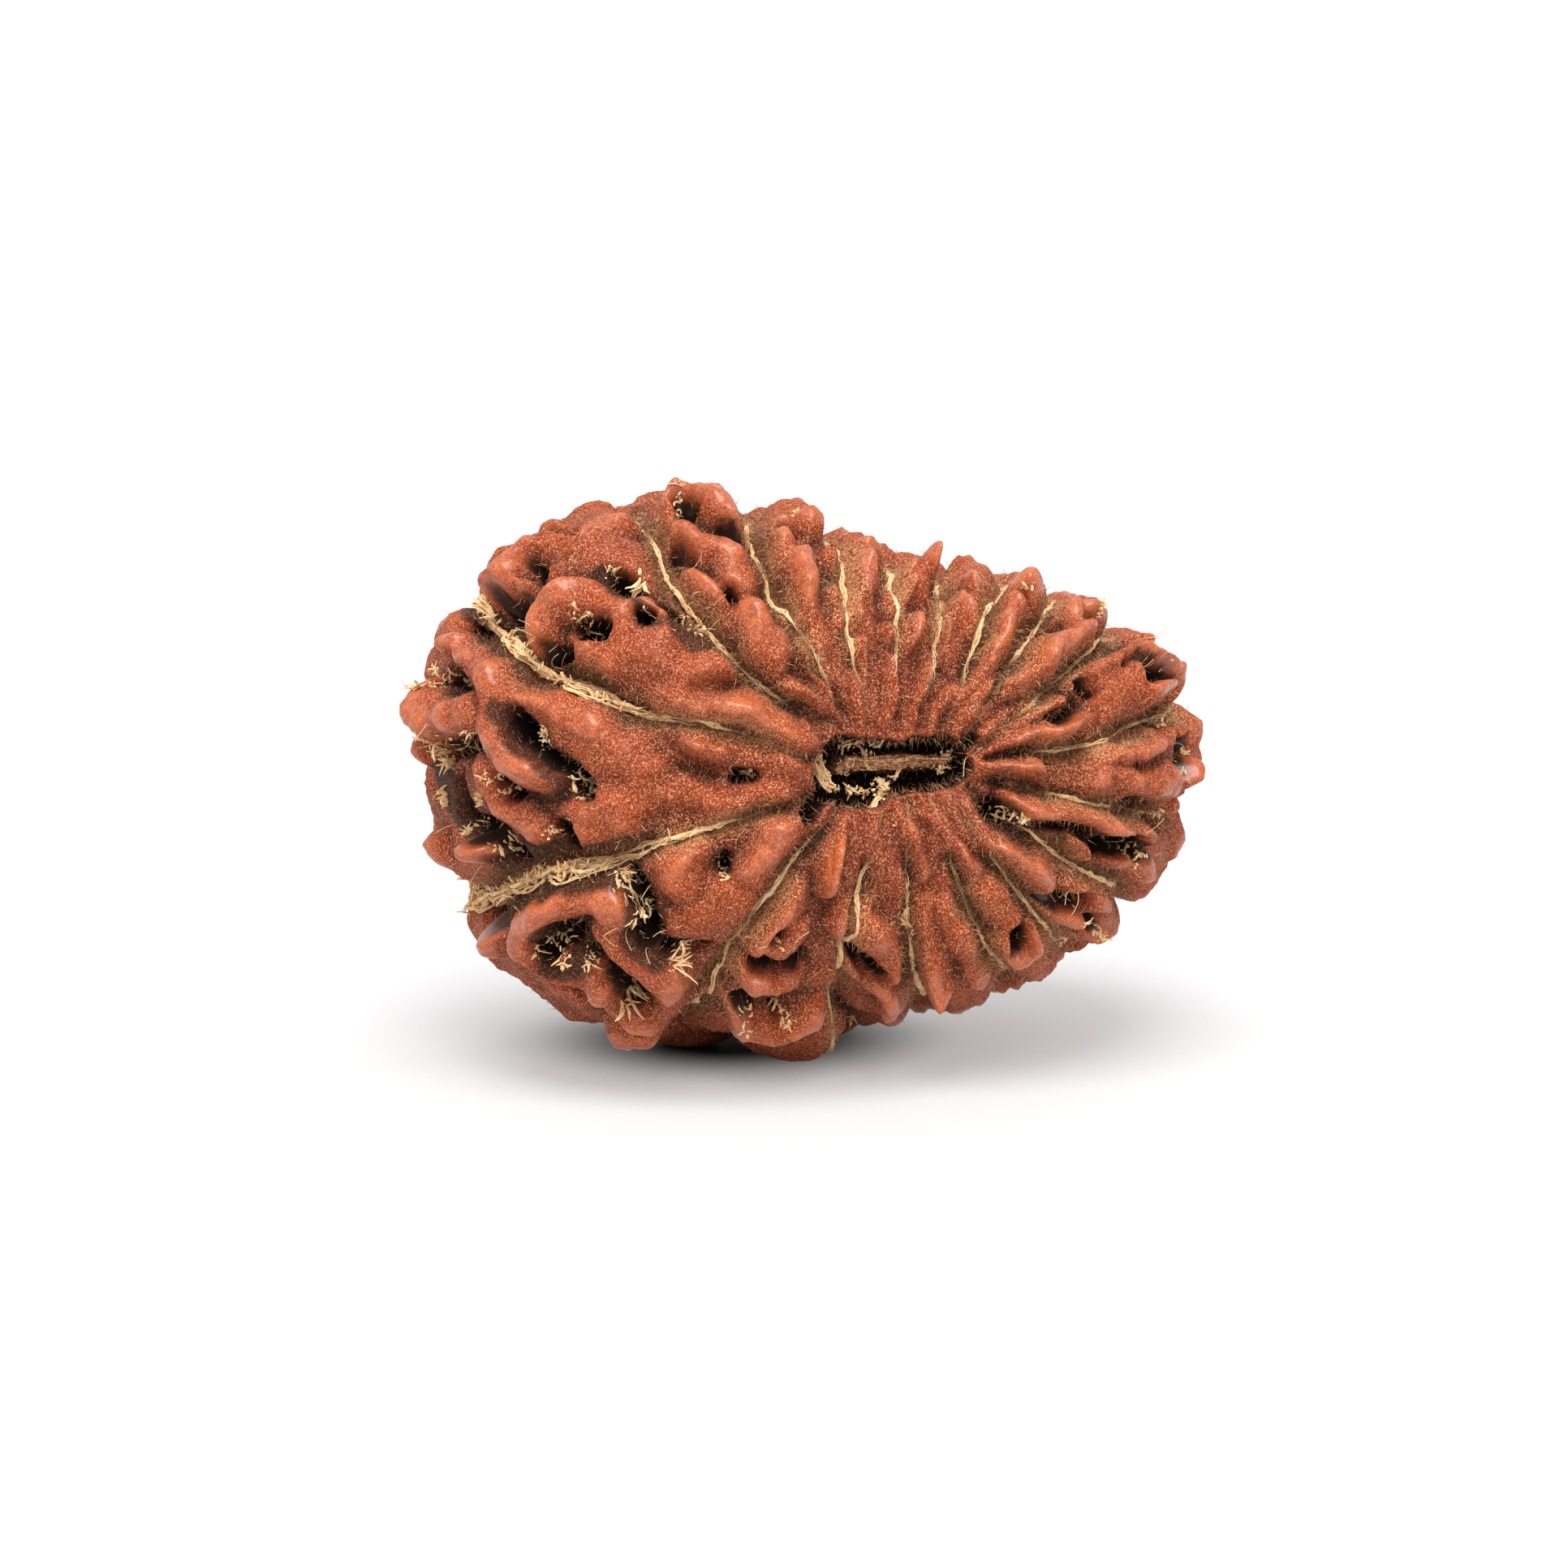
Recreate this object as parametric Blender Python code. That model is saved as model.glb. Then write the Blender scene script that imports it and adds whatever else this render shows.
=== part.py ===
"""Eighteen-faced rudraksha bead: the hard stone of a dried fruit, lying on its side.

Eighteen pale seams run from the slot at the front pole to the stalk scar at the back one. Each
lobe between two seams carries narrow fingers near the pole, then knobs, folded ridges and pits.
The stone is one closed body: a ball pushed out to a smooth form, and from there straight out by
the height of the relief. A woody bar runs along the floor of the slot.

Sizes are in millimetres and become metres where a mesh is made. The bead's own frame has U along
its length, V upwards and W out of the front pole; it lies with W leaning up from the -Y direction.
What the front view shows is placed by where it is seen there, x to the right and y up in
millimetres from the bead's middle, and what is hidden follows a rule with a seeded draw.
"""

import math

import bmesh
import bpy
import numpy as np

MM = 0.001

# Driving dimensions of the form under the relief
OUTLINE_RADII = (14.15, 11.65, 8.2, 8.75, 11.35, 13.7, 13.35, 13.0, 10.3, 8.6, 10.2, 12.6)  # every 30 degrees
HALF_DEPTH = 10.3
FORM_POWER = 2.3
DIMPLE_DEPTH = 1.1
DIMPLE_RADIUS = 4.2
SLOPE_STEP = 0.001

# How the bead lies, and where the front view is seen from
LEAN = math.radians(10)
REST_HEIGHT = 11.0
VIEW_AZIMUTH = math.radians(-20)
VIEW_ELEVATION = math.radians(10)
VIEW_DISTANCE = 300.0
SIGHT_NEAR = 20
SIGHT_FAR = 8
SIGHT_STEP = 0.04

# Heights of the relief above the form
BODY_LEVEL = 0.9
SEAM_WIDTHS = ((15, 40, 75, 150), (0.22, 0.34, 0.7, 0.5))
SEAM_DEPTHS = ((12, 25, 45, 80), (0.15, 0.5, 0.9, 1.2))
SEAM_REACH = 2.4
SEAM_CLEARING = 0.6
MERGE_POWER = 4
WARPS = ((0.11, 3.2, 1), (0.05, 1.0, 4))
LUMPS = (0.16, 1.7, 21)
WAVES = (0.06, 2.0, 22)
RIDGE_CREST = 2.6
FINGER_CREST = 1.7
FINGER_RISE = ((0, 0.35, 0.8, 1), (0.3, 0.95, 1, 0.75))
PIT_WALL = (0.25, 1.1)
SLOT_WALL = (0.75, 1.1)
SKIN_TOP = 3.5

# Mesh sizes
BALL_SUBDIVISIONS = 8
BEAD_TRIANGLES = 10000
SHARP_ANGLE = math.radians(50)
CUTTER_SIZE = 60

# The seams, from the slot outwards, as the front view shows them
SEAMS = (
    (
        (-0.3, 0.3), (-1.8, 0.9), (-3.5, 1.5), (-5.3, 1.9), (-6.5, 2.2), (-8.2, 3.1), (-9.8, 3.4),
        (-10.4, 4.2), (-11.5, 5.0), (-12.2, 6.3),
    ),
    (
        (0.8, 1.5), (-0.3, 2.0), (-1.4, 2.7), (-2.6, 3.7), (-3.5, 4.6), (-4.5, 5.7), (-5.2, 6.8),
        (-5.7, 7.9), (-6.3, 9.0), (-6.6, 10.0),
    ),
    (
        (1.3, 1.6), (0.9, 2.3), (0.3, 3.4), (-0.3, 4.5), (-0.9, 5.4), (-1.4, 6.2), (-1.8, 7.3),
        (-2.2, 8.5), (-2.2, 9.4), (-1.9, 10.0),
    ),
    (
        (2.1, 1.5), (1.8, 2.5), (1.4, 3.7), (1.15, 4.9), (1.05, 5.9), (0.98, 7.1), (0.7, 8.2),
        (0.8, 8.6), (1.3, 9.2),
    ),
    ((3.0, 1.4), (3.0, 2.6), (2.95, 3.7), (2.9, 4.9), (2.85, 6.2), (3.1, 7.3), (3.3, 8.2)),
    ((4.1, 1.3), (4.4, 2.7), (4.6, 4.0), (4.85, 5.0), (4.97, 6.2), (5.1, 6.9), (5.9, 7.5)),
    ((5.0, 1.3), (5.5, 2.3), (5.9, 3.1), (6.2, 4.0), (6.6, 5.0), (7.1, 6.0), (7.8, 7.1)),
    ((5.9, 1.2), (6.4, 1.9), (7.0, 2.8), (7.6, 3.6), (8.2, 4.4), (8.8, 5.2), (9.3, 6.0), (9.8, 6.8)),
    ((6.4, 0.8), (7.1, 1.4), (8.1, 2.1), (8.9, 2.75), (10.1, 3.8), (11.0, 4.6), (11.8, 5.1), (12.3, 5.9)),
    (
        (6.8, 0.35), (8.0, 0.55), (9.3, 0.6), (10.3, 0.75), (11.3, 1.05), (12.0, 1.45), (13.2, 1.8),
        (14.3, 2.3), (15.0, 2.8),
    ),
    (
        (6.7, -0.4), (7.5, -0.7), (8.6, -0.95), (9.5, -1.05), (10.4, -1.3), (12.0, -1.5), (13.2, -1.8),
        (14.2, -1.8), (14.9, -1.3),
    ),
    (
        (6.1, -0.9), (6.8, -1.6), (8.2, -2.4), (9.1, -3.1), (10.1, -3.7), (11.0, -4.1), (12.0, -4.6),
        (12.8, -5.0),
    ),
    (
        (5.4, -1.1), (6.0, -2.1), (6.7, -3.1), (7.3, -3.8), (8.0, -4.7), (8.7, -5.5), (9.6, -6.7),
        (10.5, -7.2),
    ),
    ((4.5, -1.2), (5.0, -2.5), (5.5, -3.8), (5.9, -4.8), (6.3, -5.7), (7.0, -6.9), (7.7, -8.0)),
    ((3.6, -1.4), (3.6, -2.8), (3.65, -4.0), (3.85, -5.7), (4.05, -6.9), (4.3, -8.2), (4.6, -9.2)),
    (
        (2.5, -1.7), (2.2, -3.0), (1.9, -4.0), (1.55, -5.2), (1.35, -6.2), (1.0, -7.4), (0.85, -8.8),
        (1.1, -10.0),
    ),
    (
        (0.9, -1.5), (0.1, -2.5), (-0.6, -3.4), (-1.4, -4.5), (-2.2, -5.3), (-3.0, -6.5), (-3.4, -7.7),
        (-4.2, -9.0), (-5.0, -10.1),
    ),
    (
        (-0.1, -1.1), (-1.4, -1.6), (-2.8, -2.0), (-4.2, -2.4), (-5.6, -2.8), (-7.3, -3.4),
        (-9.0, -3.7), (-10.8, -4.3), (-12.0, -4.8), (-13.0, -4.7),
    ),
)

# Raised strokes of the front view: kind, half width, height above the skin round it, then the crest
RIDGES = (
    # broad swells that carry the ridges and knobs of the wide lobes
    ("swell", 2.8, 0.3, (-12.0, 2.2), (-10.4, 0.6), (-8.8, -0.8)),
    ("swell", 2.4, 0.2, (-10.6, 7.4), (-8.6, 7.0), (-7.4, 8.2)),
    ("swell", 2.2, 0.3, (-4.6, 9.4), (-3.6, 7.4)),
    ("swell", 2.4, 0.2, (-9.8, -6.4), (-7.2, -7.2)),
    ("swell", 2.2, 0.3, (-4.6, -4.2), (-2.6, -6.0)),
    ("swell", 1.8, 0.4, (12.6, 3.2), (13.2, 4.4)),
    ("swell", 1.8, 0.2, (12.0, 0.0), (13.6, -0.2)),
    ("swell", 3.0, -0.9, (7.6, 8.4)),
    ("swell", 2.0, 0.5, (15.6, 2.6)),
    ("swell", 2.0, 0.45, (0.0, 10.6)),
    ("swell", 2.0, 0.4, (-14.8, 5.4)),
    ("swell", 2.0, 0.4, (3.7, -10.6)),
    # the long backs of the narrow lobes
    ("swell", 1.1, 0.5, (0.5, 5.2), (-0.2, 7.4), (-0.6, 8.8)),
    ("swell", 1.0, 0.5, (2.1, 5.0), (2.0, 6.8), (1.8, 8.4)),
    ("swell", 0.9, 0.5, (3.9, 5.2), (3.9, 6.4), (4.1, 7.6)),
    ("swell", 0.9, 0.5, (5.6, 4.8), (6.0, 5.8), (6.6, 6.8)),
    ("swell", 0.9, 0.5, (7.1, 4.4), (7.7, 5.6), (8.3, 6.8)),
    ("swell", 0.8, 0.4, (8.8, 4.0), (9.7, 5.2), (10.4, 6.0)),
    ("swell", 1.3, 0.5, (-4.0, 1.6), (-2.4, 1.1), (-0.8, 0.5)),
    ("swell", 1.2, 0.4, (-4.8, -2.6), (-3.0, -2.0), (-1.0, -1.4)),
    # the broad left lobe, between the last seam and the first
    ("ridge", 1.24, 1.05, (-13.6, 4.7), (-12.3, 4.1), (-11.0, 3.0), (-9.6, 2.3), (-8.4, 1.7)),
    ("ridge", 1.65, 0.85, (-8.6, 1.6), (-7.4, 0.6), (-6.8, -0.6), (-7.4, -1.8), (-8.4, -2.5)),
    ("ridge", 0.93, 1.05, (-12.3, 3.8), (-12.1, 2.4), (-12.1, 1.0), (-11.6, 0.1), (-10.6, -0.2),
        (-9.9, -0.2)),
    ("ridge", 0.83, 0.95, (-12.5, -0.1), (-12.1, -1.2), (-11.2, -2.0), (-10.7, -2.4)),
    ("ridge", 1.34, 0.45, (-6.4, 1.0), (-4.8, 0.9), (-3.0, 0.5), (-1.4, 0.0), (-0.5, 0.0)),
    ("knob", 0.93, 1.35, (-14.5, 1.8), (-13.4, 2.1)),
    ("knob", 1.0, 1.5, (-15.4, 2.5), (-15.0, 1.7)),
    ("knob", 0.7, 1.1, (-15.2, 0.7)),
    ("knob", 0.83, 1.55, (-13.6, 6.2), (-14.5, 5.2)),
    ("ridge", 0.5, 0.9, (-4.8, 0.8), (-4.0, 0.6), (-3.1, 0.45)),
    ("ridge", 0.83, 0.55, (-6.0, -1.3), (-4.4, -1.0), (-2.6, -1.1), (-1.2, -0.9)),
    ("knob", 1.03, 1.35, (-13.4, -3.3)),
    ("knob", 0.93, 0.75, (-14.5, -3.2)),
    ("knob", 0.54, 0.85, (-12.3, -3.4)),
    # the lobe above it, with the nose that reaches the slot
    ("ridge", 1.44, 1.05, (-8.6, 4.5), (-7.2, 4.6), (-6.0, 4.6), (-4.9, 4.2), (-4.0, 3.9)),
    ("ridge", 1.14, 0.65, (-7.4, 3.5), (-6.0, 3.2), (-4.6, 2.8)),
    ("ridge", 1.14, 1.25, (-5.2, 2.5), (-3.6, 2.2), (-2.0, 2.0), (-1.0, 1.4), (-0.3, 0.8)),
    ("ridge", 0.98, 1.35, (-10.5, 5.6), (-9.9, 6.4), (-8.7, 6.7), (-7.7, 6.3), (-7.3, 5.7)),
    ("ridge", 0.6, 1.05, (-7.0, 6.0), (-6.1, 6.4), (-5.6, 5.9)),
    ("ridge", 1.24, 0.65, (-9.4, 7.6), (-8.2, 8.1), (-7.0, 8.3), (-6.3, 7.9)),
    ("ridge", 0.84, 0.95, (-9.8, 8.7), (-8.9, 8.7), (-8.1, 9.1)),
    ("knob", 0.84, 0.8, (-9.7, 9.4), (-9.0, 9.3)),
    ("knob", 0.84, 0.95, (-7.8, 9.6)),
    ("knob", 0.6, 0.85, (-7.1, 9.8)),
    ("ridge", 0.93, 1.25, (-12.2, 7.3), (-11.5, 8.0), (-10.9, 8.5)),
    ("knob", 0.54, 0.85, (-11.1, 6.9)),
    # the top lobe, with the large ring
    ("ridge", 0.88, 1.25, (-5.8, 10.3), (-5.1, 10.8), (-4.2, 10.7), (-3.2, 10.4), (-3.0, 9.9)),
    ("ridge", 0.83, 1.05, (-5.9, 10.1), (-5.5, 9.3), (-4.8, 9.1), (-4.2, 8.8)),
    ("ridge", 0.83, 0.95, (-4.0, 8.7), (-3.2, 8.5), (-2.8, 7.9), (-2.6, 7.3)),
    ("ridge", 0.88, 1.05, (-4.6, 7.3), (-4.1, 6.8), (-3.7, 6.1), (-3.6, 5.7)),
    ("ridge", 1.03, 1.05, (-2.1, 5.9), (-1.8, 5.1), (-1.2, 4.7)),
    ("finger", 0.52, 0.87, (0.9, 1.9), (0.2, 2.6), (-0.5, 3.1)),
    # the narrow lobes along the upper right
    ("knob", 0.83, 1.05, (-1.0, 9.9)),
    ("knob", 0.72, 1.25, (0.2, 10.1)),
    ("knob", 0.84, 0.85, (-1.2, 8.9), (-1.3, 8.3)),
    ("ridge", 0.77, 0.75, (-0.1, 8.0), (0.0, 7.0), (-0.3, 6.2)),
    ("finger", 0.46, 0.97, (1.5, 1.8), (1.1, 3.0), (0.8, 4.2), (0.3, 4.9)),
    ("knob", 0.72, 0.85, (1.7, 9.0), (2.5, 8.8)),
    ("ridge", 0.84, 0.85, (1.4, 8.4), (2.0, 8.1), (2.3, 7.5)),
    ("ridge", 0.66, 0.85, (1.7, 6.8), (1.8, 6.1)),
    ("finger", 0.41, 0.87, (2.5, 1.8), (2.35, 3.0), (2.25, 4.0), (2.2, 4.8)),
    ("knob", 0.72, 0.85, (4.0, 8.1)),
    ("knob", 0.72, 1.4, (5.1, 8.5)),
    ("ridge", 0.6, 0.75, (3.8, 7.3), (3.5, 6.5)),
    ("ridge", 0.6, 0.55, (4.6, 7.5), (4.6, 6.9)),
    ("ridge", 0.48, 0.75, (3.3, 5.4), (3.9, 5.4), (4.3, 5.7)),
    ("finger", 0.41, 0.97, (3.5, 1.8), (3.55, 3.0), (3.7, 4.1), (4.0, 5.0)),
    ("knob", 0.6, 0.75, (6.5, 7.4), (7.2, 7.2)),
    ("ridge", 0.6, 0.75, (5.7, 6.8), (6.2, 6.2), (6.6, 5.6)),
    ("ridge", 0.48, 0.55, (5.5, 6.0), (5.6, 5.2)),
    ("finger", 0.52, 1.17, (4.6, 1.8), (4.9, 2.9), (5.2, 3.9), (5.5, 4.6)),
    ("knob", 0.84, 1.05, (8.4, 7.4), (9.1, 7.0)),
    ("ridge", 0.6, 0.65, (8.0, 6.4), (7.5, 5.5), (7.1, 4.7)),
    ("finger", 0.46, 1.07, (5.3, 1.7), (5.9, 2.5), (6.5, 3.2), (7.2, 4.0)),
    ("thorn", 0.8, 1.7, (10.35, 6.6), (10.5, 7.3)),
    ("knob", 0.72, 0.75, (10.0, 6.1)),
    ("ridge", 0.66, 1.2, (11.2, 6.5), (12.0, 6.3), (12.2, 5.9), (11.2, 5.4), (10.3, 4.8), (9.6, 4.2)),
    ("ridge", 0.72, 0.35, (9.3, 5.2), (9.0, 4.5)),
    ("finger", 0.57, 1.17, (6.3, 1.5), (6.9, 2.2), (7.5, 3.0), (8.4, 3.3), (9.1, 3.6)),
    # the right end
    ("ridge", 0.6, 1.05, (12.4, 4.9), (13.3, 4.5), (14.2, 4.1)),
    ("ridge", 0.72, 1.15, (12.4, 4.8), (11.5, 4.3), (10.9, 3.9)),
    ("knob", 0.6, 0.85, (13.0, 5.4)),
    ("ridge", 1.14, 0.65, (12.8, 3.3), (11.6, 3.0), (11.8, 2.4)),
    ("knob", 0.72, 1.15, (14.4, 3.2), (13.8, 2.9)),
    ("finger", 0.52, 1.17, (6.7, 0.95), (7.5, 1.35), (8.3, 1.8), (9.3, 2.5), (10.1, 2.9)),
    ("finger", 0.57, 1.27, (6.9, 0.7), (8.6, 1.15), (10.0, 1.5), (10.7, 1.9), (11.3, 1.9)),
    ("finger", 0.62, 1.17, (6.9, 0.0), (7.8, 0.1), (8.4, 0.0), (9.1, -0.1)),
    ("ridge", 0.72, 0.95, (14.5, 1.4), (13.6, 1.1), (12.6, 0.9), (11.8, 0.7)),
    ("ridge", 0.93, 0.75, (14.2, -0.7), (13.0, -0.8), (11.5, -0.5)),
    ("knob", 0.72, 1.05, (15.3, 1.8), (15.0, 2.9)),
    ("ridge", 0.72, 0.95, (14.4, 4.0), (14.8, 3.1)),
    ("knob", 0.48, 0.85, (15.3, 0.9)),
    ("knob", 0.72, 0.85, (15.2, -0.3)),
    ("ridge", 0.78, 1.15, (8.4, -1.4), (9.3, -1.7), (10.5, -1.9), (11.6, -1.9), (12.7, -2.2), (13.8, -2.6)),
    ("ridge", 0.48, 0.65, (9.0, -2.7), (10.4, -3.2), (11.1, -3.7)),
    ("knob", 0.72, 1.05, (14.9, -2.1)),
    ("ridge", 0.72, 0.85, (12.3, -3.8), (13.3, -4.0), (13.5, -4.4)),
    # the lower right
    ("finger", 0.57, 1.17, (6.0, -1.3), (6.8, -2.3), (7.8, -3.2), (8.9, -3.9), (9.7, -4.8)),
    ("ridge", 0.77, 0.75, (10.8, -4.6), (11.5, -5.1), (12.1, -5.4)),
    ("ridge", 0.83, 0.85, (9.7, -5.7), (10.4, -6.3)),
    ("knob", 0.48, 0.95, (12.8, -5.5)),
    ("knob", 0.66, 0.95, (11.5, -6.7)),
    ("finger", 0.52, 0.97, (5.0, -1.5), (5.7, -2.6), (6.3, -3.5), (6.9, -4.3)),
    ("ridge", 0.88, 0.65, (7.3, -5.1), (7.7, -6.2)),
    ("ridge", 0.78, 1.15, (9.2, -6.9), (9.3, -7.5), (8.6, -7.8), (7.8, -7.5)),
    ("knob", 0.72, 0.85, (10.0, -7.2)),
    ("finger", 0.46, 1.07, (4.1, -1.7), (4.35, -2.8), (4.5, -3.8), (4.65, -4.4)),
    ("thorn", 0.96, 2.15, (5.1, -7.8), (5.3, -9.9)),
    ("ridge", 0.83, 0.85, (5.9, -7.0), (6.7, -7.6), (6.9, -8.5)),
    ("ridge", 0.54, 0.55, (4.8, -5.5), (4.7, -6.6)),
    ("ridge", 0.54, 0.55, (5.5, -5.6), (5.6, -6.5)),
    ("finger", 0.43, 1.07, (3.05, -1.9), (3.0, -3.0), (3.0, -4.3)),
    ("knob", 0.42, 0.55, (2.4, -5.8)),
    ("ridge", 0.78, 0.95, (1.9, -6.4), (2.7, -6.9), (3.3, -7.6), (3.5, -8.3)),
    ("knob", 0.84, 0.95, (1.8, -8.6)),
    ("ridge", 0.84, 1.15, (3.0, -9.0), (3.8, -10.0)),
    ("finger", 0.52, 1.37, (1.7, -2.1), (1.45, -3.0), (1.3, -4.1), (1.2, -5.1)),
    # the bottom lobes that the bead lies on
    ("ridge", 0.93, 0.75, (-0.5, -5.2), (-1.0, -6.2), (-1.9, -6.9)),
    ("ridge", 0.72, 0.75, (-0.3, -6.8), (-1.0, -7.3)),
    ("ridge", 0.88, 1.05, (-2.6, -8.6), (-1.6, -8.8), (-0.7, -8.6)),
    ("ridge", 1.03, 1.25, (-3.3, -10.3), (-2.0, -10.6), (-0.8, -10.5), (0.2, -10.2)),
    ("finger", 0.83, 1.27, (-0.2, -1.6), (-0.8, -2.5), (-1.3, -3.4), (-1.8, -4.1)),
    ("ridge", 1.03, 0.75, (-4.8, -3.4), (-4.7, -4.4)),
    ("ridge", 0.93, 0.45, (-4.8, -6.0), (-3.7, -5.6), (-2.8, -4.9)),
    ("ridge", 1.03, 1.15, (-9.8, -5.3), (-8.8, -5.0), (-7.9, -5.1), (-7.5, -5.9), (-7.4, -6.8),
        (-6.6, -7.5), (-5.8, -8.0), (-5.3, -8.9)),
    ("ridge", 1.03, 1.15, (-10.2, -5.5), (-11.1, -6.2), (-11.1, -7.0), (-10.1, -7.9), (-8.9, -8.2),
        (-8.0, -8.7), (-7.3, -9.6), (-6.4, -10.2)),
    ("ridge", 0.83, 0.55, (-6.4, -10.2), (-5.5, -9.6), (-5.1, -8.8)),
    ("knob", 0.83, 1.2, (-12.5, -6.0), (-12.6, -7.1)),
    ("ridge", 0.83, 0.75, (-9.6, -8.8), (-8.8, -9.3)),
    ("knob", 0.84, 1.25, (-7.0, -10.8), (-6.4, -10.8)),
)

# Hollows of the front view, and the woody bar on the floor of the slot: kind, half width, depth,
# then the points along the middle
HOLLOWS = (
    ("slot", 1.25, 2.7, (1.6, -0.1), (2.6, -0.2)),
    ("slot", 0.95, 2.7, (2.7, -0.1), (4.0, 0.0), (5.5, 0.1)),
    ("slot", 0.25, 1.0, (6.0, 0.7), (6.4, 1.15)),
    ("slot", 0.3, 1.4, (0.7, -1.1), (-0.1, -1.8)),
    ("bar", 0.4, 0.9, (2.2, 0.1), (4.0, 0.2), (5.8, 0.2)),
    # the left lobe
    ("pit", 0.5, 2.4, (-10.95, 1.75), (-10.7, 1.2)),
    ("pit", 0.4, 1.4, (-10.5, 0.9), (-9.7, 0.3), (-8.8, -0.2), (-8.4, -1.1)),
    ("pit", 0.45, 1.5, (-11.6, -0.5), (-11.3, -0.9)),
    ("pit", 0.5, 1.7, (-9.5, -2.2), (-9.2, -2.9)),
    ("pit", 0.3, 1.5, (-13.2, 5.6), (-12.6, 5.3), (-12.1, 5.1)),
    ("pit", 0.5, 1.8, (-13.9, 3.3), (-13.2, 3.3)),
    ("pit", 0.45, 1.6, (-13.7, 0.6), (-12.6, 1.0)),
    ("pit", 0.55, 2.0, (-13.3, -0.6), (-13.1, -1.8), (-12.6, -2.7)),
    ("pit", 0.55, 1.8, (-12.0, -3.0), (-11.2, -3.3)),
    ("pit", 0.4, 1.5, (-2.35, -0.3), (-2.0, -0.3)),
    ("pit", 0.45, 0.25, (-4.6, -0.1), (-4.1, -0.25), (-3.5, -0.2)),
    # the upper left lobes
    ("pit", 0.5, 2.2, (-8.5, 5.4), (-8.0, 5.6)),
    ("pit", 0.36, 2.0, (-6.4, 5.8), (-6.0, 5.75)),
    ("pit", 0.35, 1.8, (-5.2, 5.9), (-4.9, 5.6)),
    ("pit", 0.42, 2.0, (-7.1, 7.2), (-6.7, 7.1)),
    ("pit", 0.4, 1.4, (-10.2, 4.8), (-9.3, 4.6)),
    ("pit", 0.5, 1.8, (-12.1, 6.6), (-11.5, 6.0), (-11.0, 6.3)),
    ("pit", 0.36, 1.3, (-10.5, 8.0), (-10.1, 7.3)),
    ("pit", 0.2, 0.9, (-9.9, 9.15), (-8.7, 9.2)),
    ("pit", 0.45, 1.8, (-4.85, 10.1), (-4.6, 9.9)),
    ("pit", 0.5, 1.6, (-3.6, 9.3), (-2.8, 9.5)),
    ("pit", 0.3, 0.9, (-5.0, 8.2), (-4.3, 8.1)),
    ("pit", 0.3, 1.1, (-3.0, 6.9), (-2.9, 6.4)),
    ("pit", 0.42, 0.4, (-4.3, 3.4), (-3.4, 3.2), (-2.7, 3.1)),
    ("pit", 0.45, 0.5, (-0.5, 3.9), (0.0, 3.3)),
    ("pit", 0.35, 1.4, (-0.7, 9.7), (-0.4, 9.4)),
    # the upper right lobes
    ("pit", 0.28, 0.3, (1.7, 5.5), (1.9, 5.3)),
    ("pit", 0.4, 0.45, (3.9, 6.3), (4.3, 6.4)),
    ("pit", 0.3, 0.5, (6.3, 6.8), (6.7, 6.4)),
    ("pit", 0.3, 1.5, (8.35, 6.7)),
    ("pit", 0.45, 1.0, (9.9, 5.6), (9.4, 5.3)),
    ("pit", 0.4, 1.4, (11.3, 6.0), (11.0, 6.1)),
    ("pit", 0.36, 1.1, (10.8, 3.3), (11.1, 2.8)),
    ("pit", 0.35, 1.2, (10.3, 2.25), (9.7, 1.9)),
    ("pit", 0.35, 1.5, (12.45, 4.25)),
    ("pit", 0.45, 1.4, (13.3, 3.6), (14.1, 3.8)),
    ("pit", 0.3, 1.3, (12.95, 0.1)),
    ("pit", 0.35, 1.4, (13.6, 1.5), (13.9, 1.6)),
    ("pit", 0.45, 1.4, (14.8, 0.8), (14.6, -0.2)),
    # the lower right lobes
    ("pit", 0.45, 1.6, (7.3, -1.55), (8.1, -1.8)),
    ("pit", 0.32, 1.3, (8.4, -2.15), (9.6, -2.55), (10.7, -2.7)),
    ("pit", 0.6, 2.2, (11.4, -3.0), (12.1, -3.1), (12.9, -3.3)),
    ("pit", 0.45, 1.8, (12.5, -1.35), (13.4, -2.0)),
    ("pit", 0.45, 1.1, (9.5, -5.3), (10.6, -5.3)),
    ("pit", 0.35, 1.7, (10.9, -5.7), (11.2, -6.3)),
    ("pit", 0.42, 2.0, (8.25, -6.9), (8.4, -7.3)),
    ("pit", 0.4, 1.5, (1.7, -7.1), (2.5, -7.7), (3.0, -8.2)),
    ("pit", 0.35, 1.2, (2.7, -9.2)),
    ("pit", 0.35, 1.7, (-1.0, -6.7)),
    ("pit", 0.5, 1.4, (-1.9, -7.9), (-1.1, -7.9), (-0.3, -8.0)),
    ("pit", 0.4, 1.5, (-2.7, -9.6), (-2.2, -9.6)),
    ("pit", 0.35, 1.3, (-1.1, -9.6)),
    # the lower left lobe
    ("pit", 0.42, 1.5, (-3.1, -3.6), (-3.0, -3.8)),
    ("pit", 0.6, 2.6, (-6.2, -6.1), (-6.0, -6.5)),
    ("pit", 0.45, 1.5, (-6.8, -4.5), (-6.4, -5.3)),
    ("pit", 0.32, 1.6, (-5.3, -7.2)),
    ("pit", 0.28, 1.0, (-4.8, -7.0), (-3.9, -6.9)),
    ("pit", 0.6, 2.2, (-9.4, -6.6), (-9.0, -6.8)),
    ("pit", 0.5, 1.8, (-10.3, -7.3), (-9.8, -7.3)),
    ("pit", 0.32, 1.6, (-8.7, -7.3), (-7.7, -7.8), (-7.1, -8.3)),
    ("pit", 0.5, 2.1, (-6.9, -8.6), (-6.6, -9.3)),
    ("pit", 0.45, 1.5, (-12.2, -5.6), (-12.0, -6.1)),
)

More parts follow.
